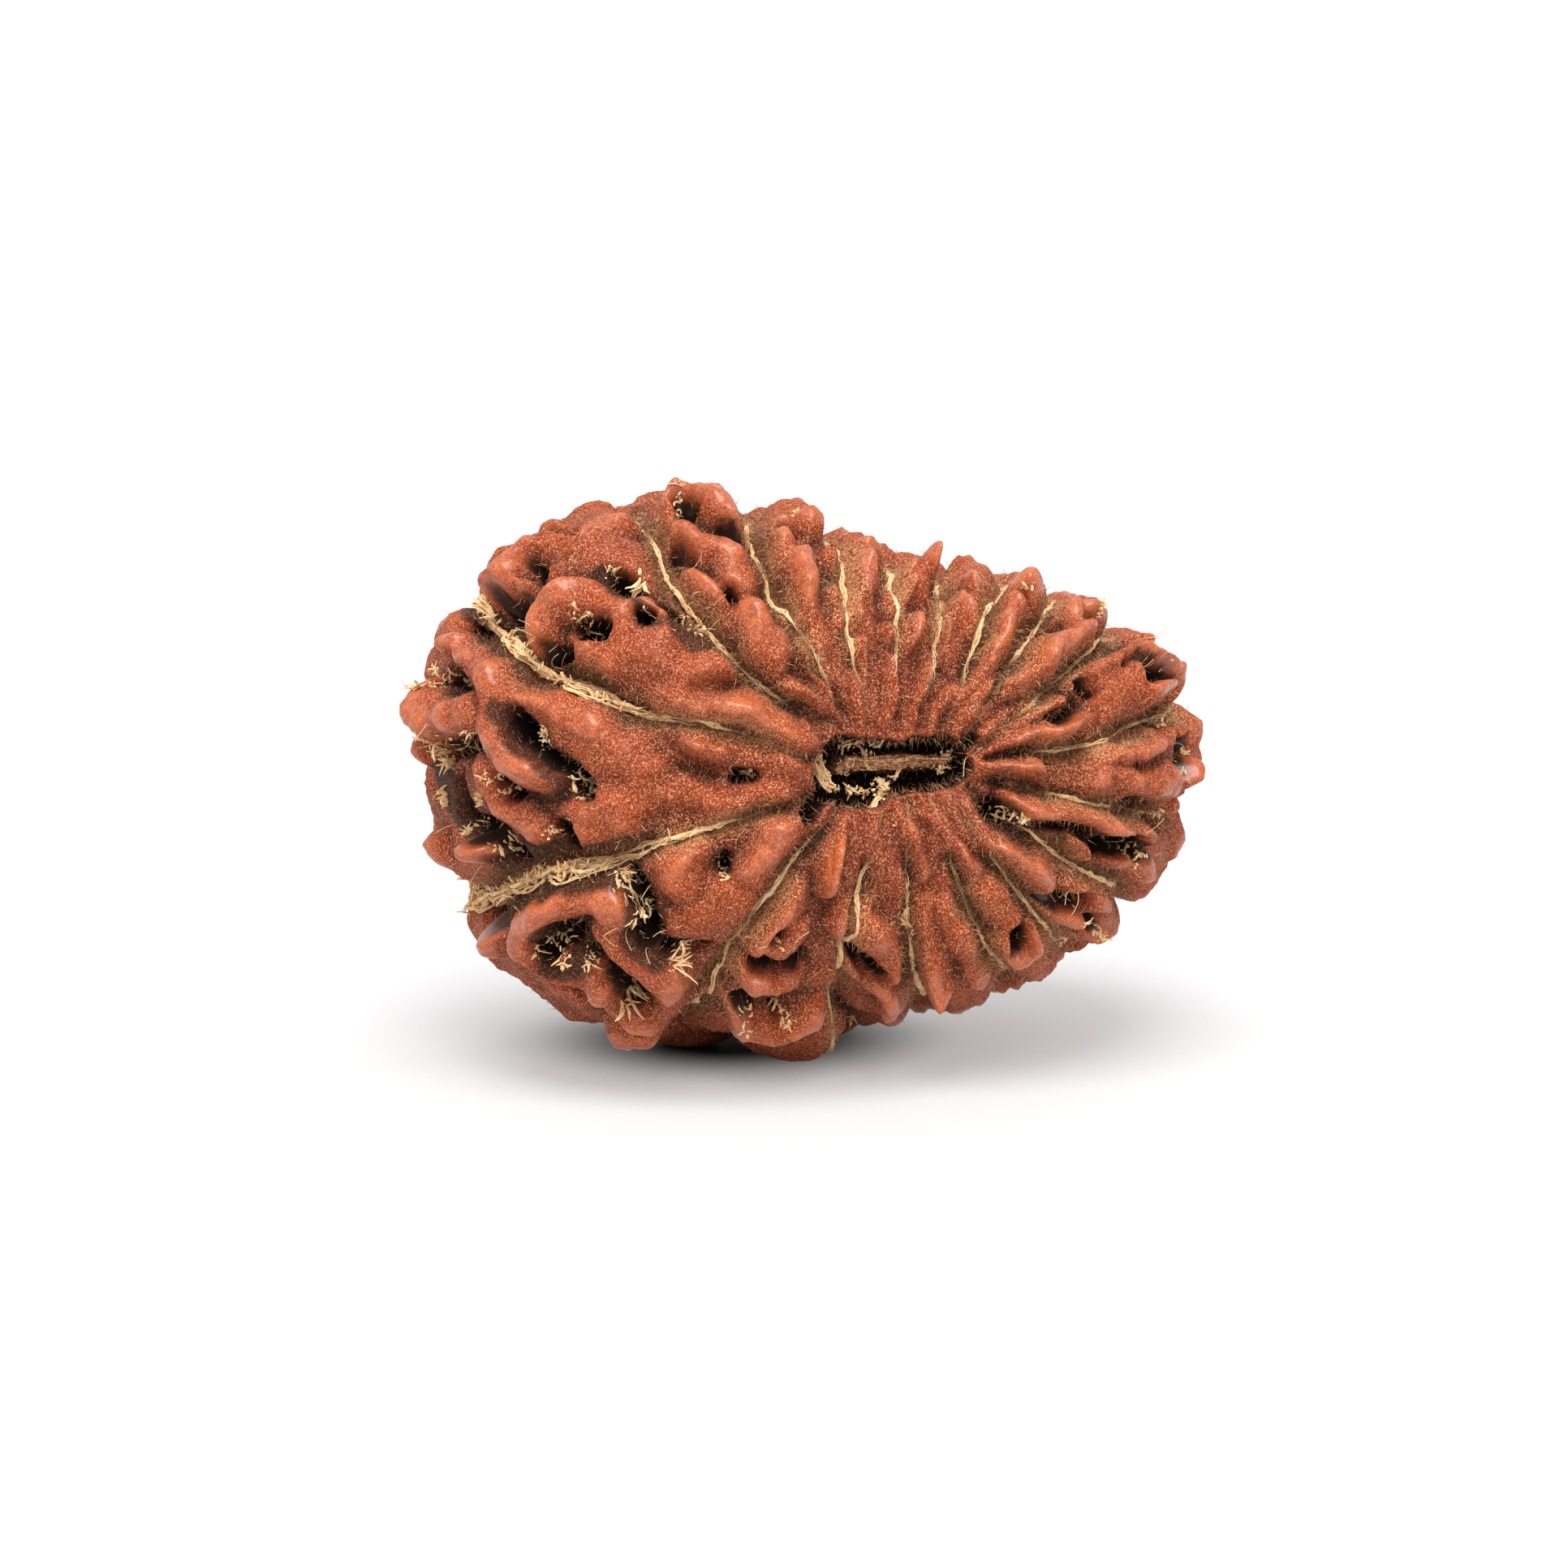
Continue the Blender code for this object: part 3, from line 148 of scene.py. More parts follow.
# Raised strokes of the front view: kind, half width, height above the skin round it, then the crest
RIDGES = (
    # broad swells that carry the ridges and knobs of the wide lobes
    ("swell", 2.8, 0.3, (-12.0, 2.2), (-10.4, 0.6), (-8.8, -0.8)),
    ("swell", 2.4, 0.2, (-10.6, 7.4), (-8.6, 7.0), (-7.4, 8.2)),
    ("swell", 2.2, 0.3, (-4.6, 9.4), (-3.6, 7.4)),
    ("swell", 2.4, 0.2, (-9.8, -6.4), (-7.2, -7.2)),
    ("swell", 2.2, 0.3, (-4.6, -4.2), (-2.6, -6.0)),
    ("swell", 1.8, 0.4, (12.6, 3.2), (13.2, 4.4)),
    ("swell", 1.8, 0.2, (12.0, 0.0), (13.6, -0.2)),
    ("swell", 3.0, -0.9, (7.6, 8.4)),
    ("swell", 2.0, 0.5, (15.6, 2.6)),
    ("swell", 2.0, 0.45, (0.0, 10.6)),
    ("swell", 2.0, 0.4, (-14.8, 5.4)),
    ("swell", 2.0, 0.4, (3.7, -10.6)),
    # the long backs of the narrow lobes
    ("swell", 1.1, 0.5, (0.5, 5.2), (-0.2, 7.4), (-0.6, 8.8)),
    ("swell", 1.0, 0.5, (2.1, 5.0), (2.0, 6.8), (1.8, 8.4)),
    ("swell", 0.9, 0.5, (3.9, 5.2), (3.9, 6.4), (4.1, 7.6)),
    ("swell", 0.9, 0.5, (5.6, 4.8), (6.0, 5.8), (6.6, 6.8)),
    ("swell", 0.9, 0.5, (7.1, 4.4), (7.7, 5.6), (8.3, 6.8)),
    ("swell", 0.8, 0.4, (8.8, 4.0), (9.7, 5.2), (10.4, 6.0)),
    ("swell", 1.3, 0.5, (-4.0, 1.6), (-2.4, 1.1), (-0.8, 0.5)),
    ("swell", 1.2, 0.4, (-4.8, -2.6), (-3.0, -2.0), (-1.0, -1.4)),
    # the broad left lobe, between the last seam and the first
    ("ridge", 1.24, 1.05, (-13.6, 4.7), (-12.3, 4.1), (-11.0, 3.0), (-9.6, 2.3), (-8.4, 1.7)),
    ("ridge", 1.65, 0.85, (-8.6, 1.6), (-7.4, 0.6), (-6.8, -0.6), (-7.4, -1.8), (-8.4, -2.5)),
    ("ridge", 0.93, 1.05, (-12.3, 3.8), (-12.1, 2.4), (-12.1, 1.0), (-11.6, 0.1), (-10.6, -0.2),
        (-9.9, -0.2)),
    ("ridge", 0.83, 0.95, (-12.5, -0.1), (-12.1, -1.2), (-11.2, -2.0), (-10.7, -2.4)),
    ("ridge", 1.34, 0.45, (-6.4, 1.0), (-4.8, 0.9), (-3.0, 0.5), (-1.4, 0.0), (-0.5, 0.0)),
    ("knob", 0.93, 1.35, (-14.5, 1.8), (-13.4, 2.1)),
    ("knob", 1.0, 1.5, (-15.4, 2.5), (-15.0, 1.7)),
    ("knob", 0.7, 1.1, (-15.2, 0.7)),
    ("knob", 0.83, 1.55, (-13.6, 6.2), (-14.5, 5.2)),
    ("ridge", 0.5, 0.9, (-4.8, 0.8), (-4.0, 0.6), (-3.1, 0.45)),
    ("ridge", 0.83, 0.55, (-6.0, -1.3), (-4.4, -1.0), (-2.6, -1.1), (-1.2, -0.9)),
    ("knob", 1.03, 1.35, (-13.4, -3.3)),
    ("knob", 0.93, 0.75, (-14.5, -3.2)),
    ("knob", 0.54, 0.85, (-12.3, -3.4)),
    # the lobe above it, with the nose that reaches the slot
    ("ridge", 1.44, 1.05, (-8.6, 4.5), (-7.2, 4.6), (-6.0, 4.6), (-4.9, 4.2), (-4.0, 3.9)),
    ("ridge", 1.14, 0.65, (-7.4, 3.5), (-6.0, 3.2), (-4.6, 2.8)),
    ("ridge", 1.14, 1.25, (-5.2, 2.5), (-3.6, 2.2), (-2.0, 2.0), (-1.0, 1.4), (-0.3, 0.8)),
    ("ridge", 0.98, 1.35, (-10.5, 5.6), (-9.9, 6.4), (-8.7, 6.7), (-7.7, 6.3), (-7.3, 5.7)),
    ("ridge", 0.6, 1.05, (-7.0, 6.0), (-6.1, 6.4), (-5.6, 5.9)),
    ("ridge", 1.24, 0.65, (-9.4, 7.6), (-8.2, 8.1), (-7.0, 8.3), (-6.3, 7.9)),
    ("ridge", 0.84, 0.95, (-9.8, 8.7), (-8.9, 8.7), (-8.1, 9.1)),
    ("knob", 0.84, 0.8, (-9.7, 9.4), (-9.0, 9.3)),
    ("knob", 0.84, 0.95, (-7.8, 9.6)),
    ("knob", 0.6, 0.85, (-7.1, 9.8)),
    ("ridge", 0.93, 1.25, (-12.2, 7.3), (-11.5, 8.0), (-10.9, 8.5)),
    ("knob", 0.54, 0.85, (-11.1, 6.9)),
    # the top lobe, with the large ring
    ("ridge", 0.88, 1.25, (-5.8, 10.3), (-5.1, 10.8), (-4.2, 10.7), (-3.2, 10.4), (-3.0, 9.9)),
    ("ridge", 0.83, 1.05, (-5.9, 10.1), (-5.5, 9.3), (-4.8, 9.1), (-4.2, 8.8)),
    ("ridge", 0.83, 0.95, (-4.0, 8.7), (-3.2, 8.5), (-2.8, 7.9), (-2.6, 7.3)),
    ("ridge", 0.88, 1.05, (-4.6, 7.3), (-4.1, 6.8), (-3.7, 6.1), (-3.6, 5.7)),
    ("ridge", 1.03, 1.05, (-2.1, 5.9), (-1.8, 5.1), (-1.2, 4.7)),
    ("finger", 0.52, 0.87, (0.9, 1.9), (0.2, 2.6), (-0.5, 3.1)),
    # the narrow lobes along the upper right
    ("knob", 0.83, 1.05, (-1.0, 9.9)),
    ("knob", 0.72, 1.25, (0.2, 10.1)),
    ("knob", 0.84, 0.85, (-1.2, 8.9), (-1.3, 8.3)),
    ("ridge", 0.77, 0.75, (-0.1, 8.0), (0.0, 7.0), (-0.3, 6.2)),
    ("finger", 0.46, 0.97, (1.5, 1.8), (1.1, 3.0), (0.8, 4.2), (0.3, 4.9)),
    ("knob", 0.72, 0.85, (1.7, 9.0), (2.5, 8.8)),
    ("ridge", 0.84, 0.85, (1.4, 8.4), (2.0, 8.1), (2.3, 7.5)),
    ("ridge", 0.66, 0.85, (1.7, 6.8), (1.8, 6.1)),
    ("finger", 0.41, 0.87, (2.5, 1.8), (2.35, 3.0), (2.25, 4.0), (2.2, 4.8)),
    ("knob", 0.72, 0.85, (4.0, 8.1)),
    ("knob", 0.72, 1.4, (5.1, 8.5)),
    ("ridge", 0.6, 0.75, (3.8, 7.3), (3.5, 6.5)),
    ("ridge", 0.6, 0.55, (4.6, 7.5), (4.6, 6.9)),
    ("ridge", 0.48, 0.75, (3.3, 5.4), (3.9, 5.4), (4.3, 5.7)),
    ("finger", 0.41, 0.97, (3.5, 1.8), (3.55, 3.0), (3.7, 4.1), (4.0, 5.0)),
    ("knob", 0.6, 0.75, (6.5, 7.4), (7.2, 7.2)),
    ("ridge", 0.6, 0.75, (5.7, 6.8), (6.2, 6.2), (6.6, 5.6)),
    ("ridge", 0.48, 0.55, (5.5, 6.0), (5.6, 5.2)),
    ("finger", 0.52, 1.17, (4.6, 1.8), (4.9, 2.9), (5.2, 3.9), (5.5, 4.6)),
    ("knob", 0.84, 1.05, (8.4, 7.4), (9.1, 7.0)),
    ("ridge", 0.6, 0.65, (8.0, 6.4), (7.5, 5.5), (7.1, 4.7)),
    ("finger", 0.46, 1.07, (5.3, 1.7), (5.9, 2.5), (6.5, 3.2), (7.2, 4.0)),
    ("thorn", 0.8, 1.7, (10.35, 6.6), (10.5, 7.3)),
    ("knob", 0.72, 0.75, (10.0, 6.1)),
    ("ridge", 0.66, 1.2, (11.2, 6.5), (12.0, 6.3), (12.2, 5.9), (11.2, 5.4), (10.3, 4.8), (9.6, 4.2)),
    ("ridge", 0.72, 0.35, (9.3, 5.2), (9.0, 4.5)),
    ("finger", 0.57, 1.17, (6.3, 1.5), (6.9, 2.2), (7.5, 3.0), (8.4, 3.3), (9.1, 3.6)),
    # the right end
    ("ridge", 0.6, 1.05, (12.4, 4.9), (13.3, 4.5), (14.2, 4.1)),
    ("ridge", 0.72, 1.15, (12.4, 4.8), (11.5, 4.3), (10.9, 3.9)),
    ("knob", 0.6, 0.85, (13.0, 5.4)),
    ("ridge", 1.14, 0.65, (12.8, 3.3), (11.6, 3.0), (11.8, 2.4)),
    ("knob", 0.72, 1.15, (14.4, 3.2), (13.8, 2.9)),
    ("finger", 0.52, 1.17, (6.7, 0.95), (7.5, 1.35), (8.3, 1.8), (9.3, 2.5), (10.1, 2.9)),
    ("finger", 0.57, 1.27, (6.9, 0.7), (8.6, 1.15), (10.0, 1.5), (10.7, 1.9), (11.3, 1.9)),
    ("finger", 0.62, 1.17, (6.9, 0.0), (7.8, 0.1), (8.4, 0.0), (9.1, -0.1)),
    ("ridge", 0.72, 0.95, (14.5, 1.4), (13.6, 1.1), (12.6, 0.9), (11.8, 0.7)),
    ("ridge", 0.93, 0.75, (14.2, -0.7), (13.0, -0.8), (11.5, -0.5)),
    ("knob", 0.72, 1.05, (15.3, 1.8), (15.0, 2.9)),
    ("ridge", 0.72, 0.95, (14.4, 4.0), (14.8, 3.1)),
    ("knob", 0.48, 0.85, (15.3, 0.9)),
    ("knob", 0.72, 0.85, (15.2, -0.3)),
    ("ridge", 0.78, 1.15, (8.4, -1.4), (9.3, -1.7), (10.5, -1.9), (11.6, -1.9), (12.7, -2.2), (13.8, -2.6)),
    ("ridge", 0.48, 0.65, (9.0, -2.7), (10.4, -3.2), (11.1, -3.7)),
    ("knob", 0.72, 1.05, (14.9, -2.1)),
    ("ridge", 0.72, 0.85, (12.3, -3.8), (13.3, -4.0), (13.5, -4.4)),
    # the lower right
    ("finger", 0.57, 1.17, (6.0, -1.3), (6.8, -2.3), (7.8, -3.2), (8.9, -3.9), (9.7, -4.8)),
    ("ridge", 0.77, 0.75, (10.8, -4.6), (11.5, -5.1), (12.1, -5.4)),
    ("ridge", 0.83, 0.85, (9.7, -5.7), (10.4, -6.3)),
    ("knob", 0.48, 0.95, (12.8, -5.5)),
    ("knob", 0.66, 0.95, (11.5, -6.7)),
    ("finger", 0.52, 0.97, (5.0, -1.5), (5.7, -2.6), (6.3, -3.5), (6.9, -4.3)),
    ("ridge", 0.88, 0.65, (7.3, -5.1), (7.7, -6.2)),
    ("ridge", 0.78, 1.15, (9.2, -6.9), (9.3, -7.5), (8.6, -7.8), (7.8, -7.5)),
    ("knob", 0.72, 0.85, (10.0, -7.2)),
    ("finger", 0.46, 1.07, (4.1, -1.7), (4.35, -2.8), (4.5, -3.8), (4.65, -4.4)),
    ("thorn", 0.96, 2.15, (5.1, -7.8), (5.3, -9.9)),
    ("ridge", 0.83, 0.85, (5.9, -7.0), (6.7, -7.6), (6.9, -8.5)),
    ("ridge", 0.54, 0.55, (4.8, -5.5), (4.7, -6.6)),
    ("ridge", 0.54, 0.55, (5.5, -5.6), (5.6, -6.5)),
    ("finger", 0.43, 1.07, (3.05, -1.9), (3.0, -3.0), (3.0, -4.3)),
    ("knob", 0.42, 0.55, (2.4, -5.8)),
    ("ridge", 0.78, 0.95, (1.9, -6.4), (2.7, -6.9), (3.3, -7.6), (3.5, -8.3)),
    ("knob", 0.84, 0.95, (1.8, -8.6)),
    ("ridge", 0.84, 1.15, (3.0, -9.0), (3.8, -10.0)),
    ("finger", 0.52, 1.37, (1.7, -2.1), (1.45, -3.0), (1.3, -4.1), (1.2, -5.1)),
    # the bottom lobes that the bead lies on
    ("ridge", 0.93, 0.75, (-0.5, -5.2), (-1.0, -6.2), (-1.9, -6.9)),
    ("ridge", 0.72, 0.75, (-0.3, -6.8), (-1.0, -7.3)),
    ("ridge", 0.88, 1.05, (-2.6, -8.6), (-1.6, -8.8), (-0.7, -8.6)),
    ("ridge", 1.03, 1.25, (-3.3, -10.3), (-2.0, -10.6), (-0.8, -10.5), (0.2, -10.2)),
    ("finger", 0.83, 1.27, (-0.2, -1.6), (-0.8, -2.5), (-1.3, -3.4), (-1.8, -4.1)),
    ("ridge", 1.03, 0.75, (-4.8, -3.4), (-4.7, -4.4)),
    ("ridge", 0.93, 0.45, (-4.8, -6.0), (-3.7, -5.6), (-2.8, -4.9)),
    ("ridge", 1.03, 1.15, (-9.8, -5.3), (-8.8, -5.0), (-7.9, -5.1), (-7.5, -5.9), (-7.4, -6.8),
        (-6.6, -7.5), (-5.8, -8.0), (-5.3, -8.9)),
    ("ridge", 1.03, 1.15, (-10.2, -5.5), (-11.1, -6.2), (-11.1, -7.0), (-10.1, -7.9), (-8.9, -8.2),
        (-8.0, -8.7), (-7.3, -9.6), (-6.4, -10.2)),
    ("ridge", 0.83, 0.55, (-6.4, -10.2), (-5.5, -9.6), (-5.1, -8.8)),
    ("knob", 0.83, 1.2, (-12.5, -6.0), (-12.6, -7.1)),
    ("ridge", 0.83, 0.75, (-9.6, -8.8), (-8.8, -9.3)),
    ("knob", 0.84, 1.25, (-7.0, -10.8), (-6.4, -10.8)),
)

# Hollows of the front view, and the woody bar on the floor of the slot: kind, half width, depth,
# then the points along the middle
HOLLOWS = (
    ("slot", 1.25, 2.7, (1.6, -0.1), (2.6, -0.2)),
    ("slot", 0.95, 2.7, (2.7, -0.1), (4.0, 0.0), (5.5, 0.1)),
    ("slot", 0.25, 1.0, (6.0, 0.7), (6.4, 1.15)),
    ("slot", 0.3, 1.4, (0.7, -1.1), (-0.1, -1.8)),
    ("bar", 0.4, 0.9, (2.2, 0.1), (4.0, 0.2), (5.8, 0.2)),
    # the left lobe
    ("pit", 0.5, 2.4, (-10.95, 1.75), (-10.7, 1.2)),
    ("pit", 0.4, 1.4, (-10.5, 0.9), (-9.7, 0.3), (-8.8, -0.2), (-8.4, -1.1)),
    ("pit", 0.45, 1.5, (-11.6, -0.5), (-11.3, -0.9)),
    ("pit", 0.5, 1.7, (-9.5, -2.2), (-9.2, -2.9)),
    ("pit", 0.3, 1.5, (-13.2, 5.6), (-12.6, 5.3), (-12.1, 5.1)),
    ("pit", 0.5, 1.8, (-13.9, 3.3), (-13.2, 3.3)),
    ("pit", 0.45, 1.6, (-13.7, 0.6), (-12.6, 1.0)),
    ("pit", 0.55, 2.0, (-13.3, -0.6), (-13.1, -1.8), (-12.6, -2.7)),
    ("pit", 0.55, 1.8, (-12.0, -3.0), (-11.2, -3.3)),
    ("pit", 0.4, 1.5, (-2.35, -0.3), (-2.0, -0.3)),
    ("pit", 0.45, 0.25, (-4.6, -0.1), (-4.1, -0.25), (-3.5, -0.2)),
    # the upper left lobes
    ("pit", 0.5, 2.2, (-8.5, 5.4), (-8.0, 5.6)),
    ("pit", 0.36, 2.0, (-6.4, 5.8), (-6.0, 5.75)),
    ("pit", 0.35, 1.8, (-5.2, 5.9), (-4.9, 5.6)),
    ("pit", 0.42, 2.0, (-7.1, 7.2), (-6.7, 7.1)),
    ("pit", 0.4, 1.4, (-10.2, 4.8), (-9.3, 4.6)),
    ("pit", 0.5, 1.8, (-12.1, 6.6), (-11.5, 6.0), (-11.0, 6.3)),
    ("pit", 0.36, 1.3, (-10.5, 8.0), (-10.1, 7.3)),
    ("pit", 0.2, 0.9, (-9.9, 9.15), (-8.7, 9.2)),
    ("pit", 0.45, 1.8, (-4.85, 10.1), (-4.6, 9.9)),
    ("pit", 0.5, 1.6, (-3.6, 9.3), (-2.8, 9.5)),
    ("pit", 0.3, 0.9, (-5.0, 8.2), (-4.3, 8.1)),
    ("pit", 0.3, 1.1, (-3.0, 6.9), (-2.9, 6.4)),
    ("pit", 0.42, 0.4, (-4.3, 3.4), (-3.4, 3.2), (-2.7, 3.1)),
    ("pit", 0.45, 0.5, (-0.5, 3.9), (0.0, 3.3)),
    ("pit", 0.35, 1.4, (-0.7, 9.7), (-0.4, 9.4)),
    # the upper right lobes
    ("pit", 0.28, 0.3, (1.7, 5.5), (1.9, 5.3)),
    ("pit", 0.4, 0.45, (3.9, 6.3), (4.3, 6.4)),
    ("pit", 0.3, 0.5, (6.3, 6.8), (6.7, 6.4)),
    ("pit", 0.3, 1.5, (8.35, 6.7)),
    ("pit", 0.45, 1.0, (9.9, 5.6), (9.4, 5.3)),
    ("pit", 0.4, 1.4, (11.3, 6.0), (11.0, 6.1)),
    ("pit", 0.36, 1.1, (10.8, 3.3), (11.1, 2.8)),
    ("pit", 0.35, 1.2, (10.3, 2.25), (9.7, 1.9)),
    ("pit", 0.35, 1.5, (12.45, 4.25)),
    ("pit", 0.45, 1.4, (13.3, 3.6), (14.1, 3.8)),
    ("pit", 0.3, 1.3, (12.95, 0.1)),
    ("pit", 0.35, 1.4, (13.6, 1.5), (13.9, 1.6)),
    ("pit", 0.45, 1.4, (14.8, 0.8), (14.6, -0.2)),
    # the lower right lobes
    ("pit", 0.45, 1.6, (7.3, -1.55), (8.1, -1.8)),
    ("pit", 0.32, 1.3, (8.4, -2.15), (9.6, -2.55), (10.7, -2.7)),
    ("pit", 0.6, 2.2, (11.4, -3.0), (12.1, -3.1), (12.9, -3.3)),
    ("pit", 0.45, 1.8, (12.5, -1.35), (13.4, -2.0)),
    ("pit", 0.45, 1.1, (9.5, -5.3), (10.6, -5.3)),
    ("pit", 0.35, 1.7, (10.9, -5.7), (11.2, -6.3)),
    ("pit", 0.42, 2.0, (8.25, -6.9), (8.4, -7.3)),
    ("pit", 0.4, 1.5, (1.7, -7.1), (2.5, -7.7), (3.0, -8.2)),
    ("pit", 0.35, 1.2, (2.7, -9.2)),
    ("pit", 0.35, 1.7, (-1.0, -6.7)),
    ("pit", 0.5, 1.4, (-1.9, -7.9), (-1.1, -7.9), (-0.3, -8.0)),
    ("pit", 0.4, 1.5, (-2.7, -9.6), (-2.2, -9.6)),
    ("pit", 0.35, 1.3, (-1.1, -9.6)),
    # the lower left lobe
    ("pit", 0.42, 1.5, (-3.1, -3.6), (-3.0, -3.8)),
    ("pit", 0.6, 2.6, (-6.2, -6.1), (-6.0, -6.5)),
    ("pit", 0.45, 1.5, (-6.8, -4.5), (-6.4, -5.3)),
    ("pit", 0.32, 1.6, (-5.3, -7.2)),
    ("pit", 0.28, 1.0, (-4.8, -7.0), (-3.9, -6.9)),
    ("pit", 0.6, 2.2, (-9.4, -6.6), (-9.0, -6.8)),
    ("pit", 0.5, 1.8, (-10.3, -7.3), (-9.8, -7.3)),
    ("pit", 0.32, 1.6, (-8.7, -7.3), (-7.7, -7.8), (-7.1, -8.3)),
    ("pit", 0.5, 2.1, (-6.9, -8.6), (-6.6, -9.3)),
    ("pit", 0.45, 1.5, (-12.2, -5.6), (-12.0, -6.1)),
)

# The hidden side: the seams' way to the stalk scar, and rows of knobs and pits in each lobe
SCAR_FALL = math.radians(168)
BACK_STEPS = 8
BACK_SWAY = 0.06
HIDDEN_SEED = 18
HIDDEN_ROWS = 6
HIDDEN_LIMIT = 0.08
HIDDEN_RISE = ((0.08, 0.5), (0.4, 1.0))

# Where the far side touches the plane that the bead lies on
RESTING_SPOTS = ((-1.4, -1.8), (2.0, 3.4), (-4.8, 2.6))
RESTING_RADIUS = 2.2
RESTING_DROP = 1.2
FLAT_CUT = 0.2


def view_axes():
    """Unit vectors of the front view in the row frame: to the right, up, and back towards the viewer."""
    sin_a, cos_a = math.sin(VIEW_AZIMUTH), math.cos(VIEW_AZIMUTH)
    sin_e, cos_e = math.sin(VIEW_ELEVATION), math.cos(VIEW_ELEVATION)
    right = np.array((cos_a, sin_a, 0.0))
    up = np.array((-sin_e * sin_a, sin_e * cos_a, cos_e))
    back = np.array((sin_a * cos_e, -cos_a * cos_e, sin_e))
    return np.array((right, up, back))


def bead_axes():
    """The bead's U, V and W as the rows of a matrix in the row frame."""
    return np.array((
        (1.0, 0.0, 0.0),
        (0.0, math.sin(LEAN), math.cos(LEAN)),
        (0.0, -math.cos(LEAN), math.sin(LEAN)),
    ))


def outline_radius(angle):
    """The form's radius at its girth, by a cubic through the radii in OUTLINE_RADII."""
    radii = np.array(OUTLINE_RADII)
    place = (angle / (2 * math.pi) % 1.0) * len(radii)
    k = np.floor(place).astype(int) % len(radii)
    t = place - np.floor(place)
    before, here, after, beyond = (np.take(radii, k + step, mode="wrap") for step in (-1, 0, 1, 2))
    slope_here, slope_after = (after - before) / 2, (beyond - here) / 2
    return (
        (2 * t**3 - 3 * t**2 + 1) * here
        + (t**3 - 2 * t**2 + t) * slope_here
        + (3 * t**2 - 2 * t**3) * after
        + (t**3 - t**2) * slope_after
    )


def form_radius(directions):
    """Distance from the bead's middle to the smooth form, for unit vectors in the bead's frame."""
    u, v, w = directions.T
    girth = np.hypot(u, v)
    across = girth / outline_radius(np.arctan2(v, u))
    radius = (across**FORM_POWER + (np.abs(w) / HALF_DEPTH) ** FORM_POWER) ** (-1 / FORM_POWER)
    return radius - DIMPLE_DEPTH * np.exp(-((girth * radius / DIMPLE_RADIUS) ** 2))


def unit(vectors):
    """Vectors of the same ways, one long."""
    return vectors / np.linalg.norm(vectors, axis=-1, keepdims=True)


def on_form(directions):
    """Points on the smooth form, for unit vectors in the bead's frame."""
    return form_radius(directions)[:, None] * directions


def above_form(points):
    """How far points lie outside the form, along their own radii."""
    distance = np.linalg.norm(points, axis=1)
    return distance - form_radius(points / distance[:, None])


def form_normals(points):
    """The way straight out of the form at points on or near it."""
    here = above_form(points)
    return unit(np.stack([above_form(points + step) - here for step in SLOPE_STEP * np.eye(3)], 1))


def sight_line(x, y):
    """Points along the front view's line of sight at x, y: the form's directions under them, and
    how high above the form they are."""
    right, up, back = view_axes() @ bead_axes().T
    eye = VIEW_DISTANCE * back
    sight = unit(x * right + y * up - eye)
    steps = np.arange(VIEW_DISTANCE - SIGHT_NEAR, VIEW_DISTANCE + SIGHT_FAR, SIGHT_STEP)
    points = eye + steps[:, None] * sight
    normals = form_normals(points)
    heights = above_form(points) * (normals * unit(points)).sum(1)
    return unit(points - heights[:, None] * normals), heights


def seen_at(x, y, height):
    """Direction of the spot on the form under what the front view shows at x, y, height above it."""
    under, heights = sight_line(x, y)
    inside = np.nonzero(heights < height)[0]
    return under[inside[0] if len(inside) else np.argmin(heights)]


def seen_on_skin(places, strokes):
    """Directions of the spots that the front view shows at each x, y, on a skin with these strokes."""
    lines = [sight_line(x, y) for x, y in places]
    close = [(under[heights < SKIN_TOP], heights[heights < SKIN_TOP]) for under, heights in lines]
    skin, _ = relief(np.vstack([under for under, _ in close]), strokes)
    spots = []
    start = 0
    for (under, heights), (all_under, all_heights) in zip(close, lines):
        inside = np.nonzero(heights < skin[start:start + len(heights)])[0]
        spots.append(under[inside[0]] if len(inside) else all_under[np.argmin(all_heights)])
        start += len(heights)
    return np.array(spots)


def smooth_path(corners, per_span=4):
    """A Catmull-Rom curve through directions, as unit vectors."""
    if len(corners) < 3:
        return np.array(corners)
    ends = np.vstack((2 * corners[0] - corners[1], corners, 2 * corners[-1] - corners[-2]))
    steps = np.linspace(0, 1, per_span, endpoint=False)[:, None]
    spans = []
    for a, b, c, d in zip(ends, ends[1:], ends[2:], ends[3:]):
        bend = (2 * a - 5 * b + 4 * c - d) * steps**2 + (3 * b - a - 3 * c + d) * steps**3
        spans.append(0.5 * (2 * b + (c - a) * steps + bend))
    return unit(np.vstack((*spans, corners[-1])))


def ripple(points, wavelength, seed, waves=14):
    """A smooth random value from about -1 to 1 at each point."""
    draw = np.random.default_rng(seed)
    turns = unit(draw.normal(size=(waves, 3))) * draw.uniform(0.6, 1.5, (waves, 1)) * 2 * math.pi / wavelength
    return np.sin(points @ turns.T + draw.uniform(0, 2 * math.pi, waves)).sum(1) / math.sqrt(waves)


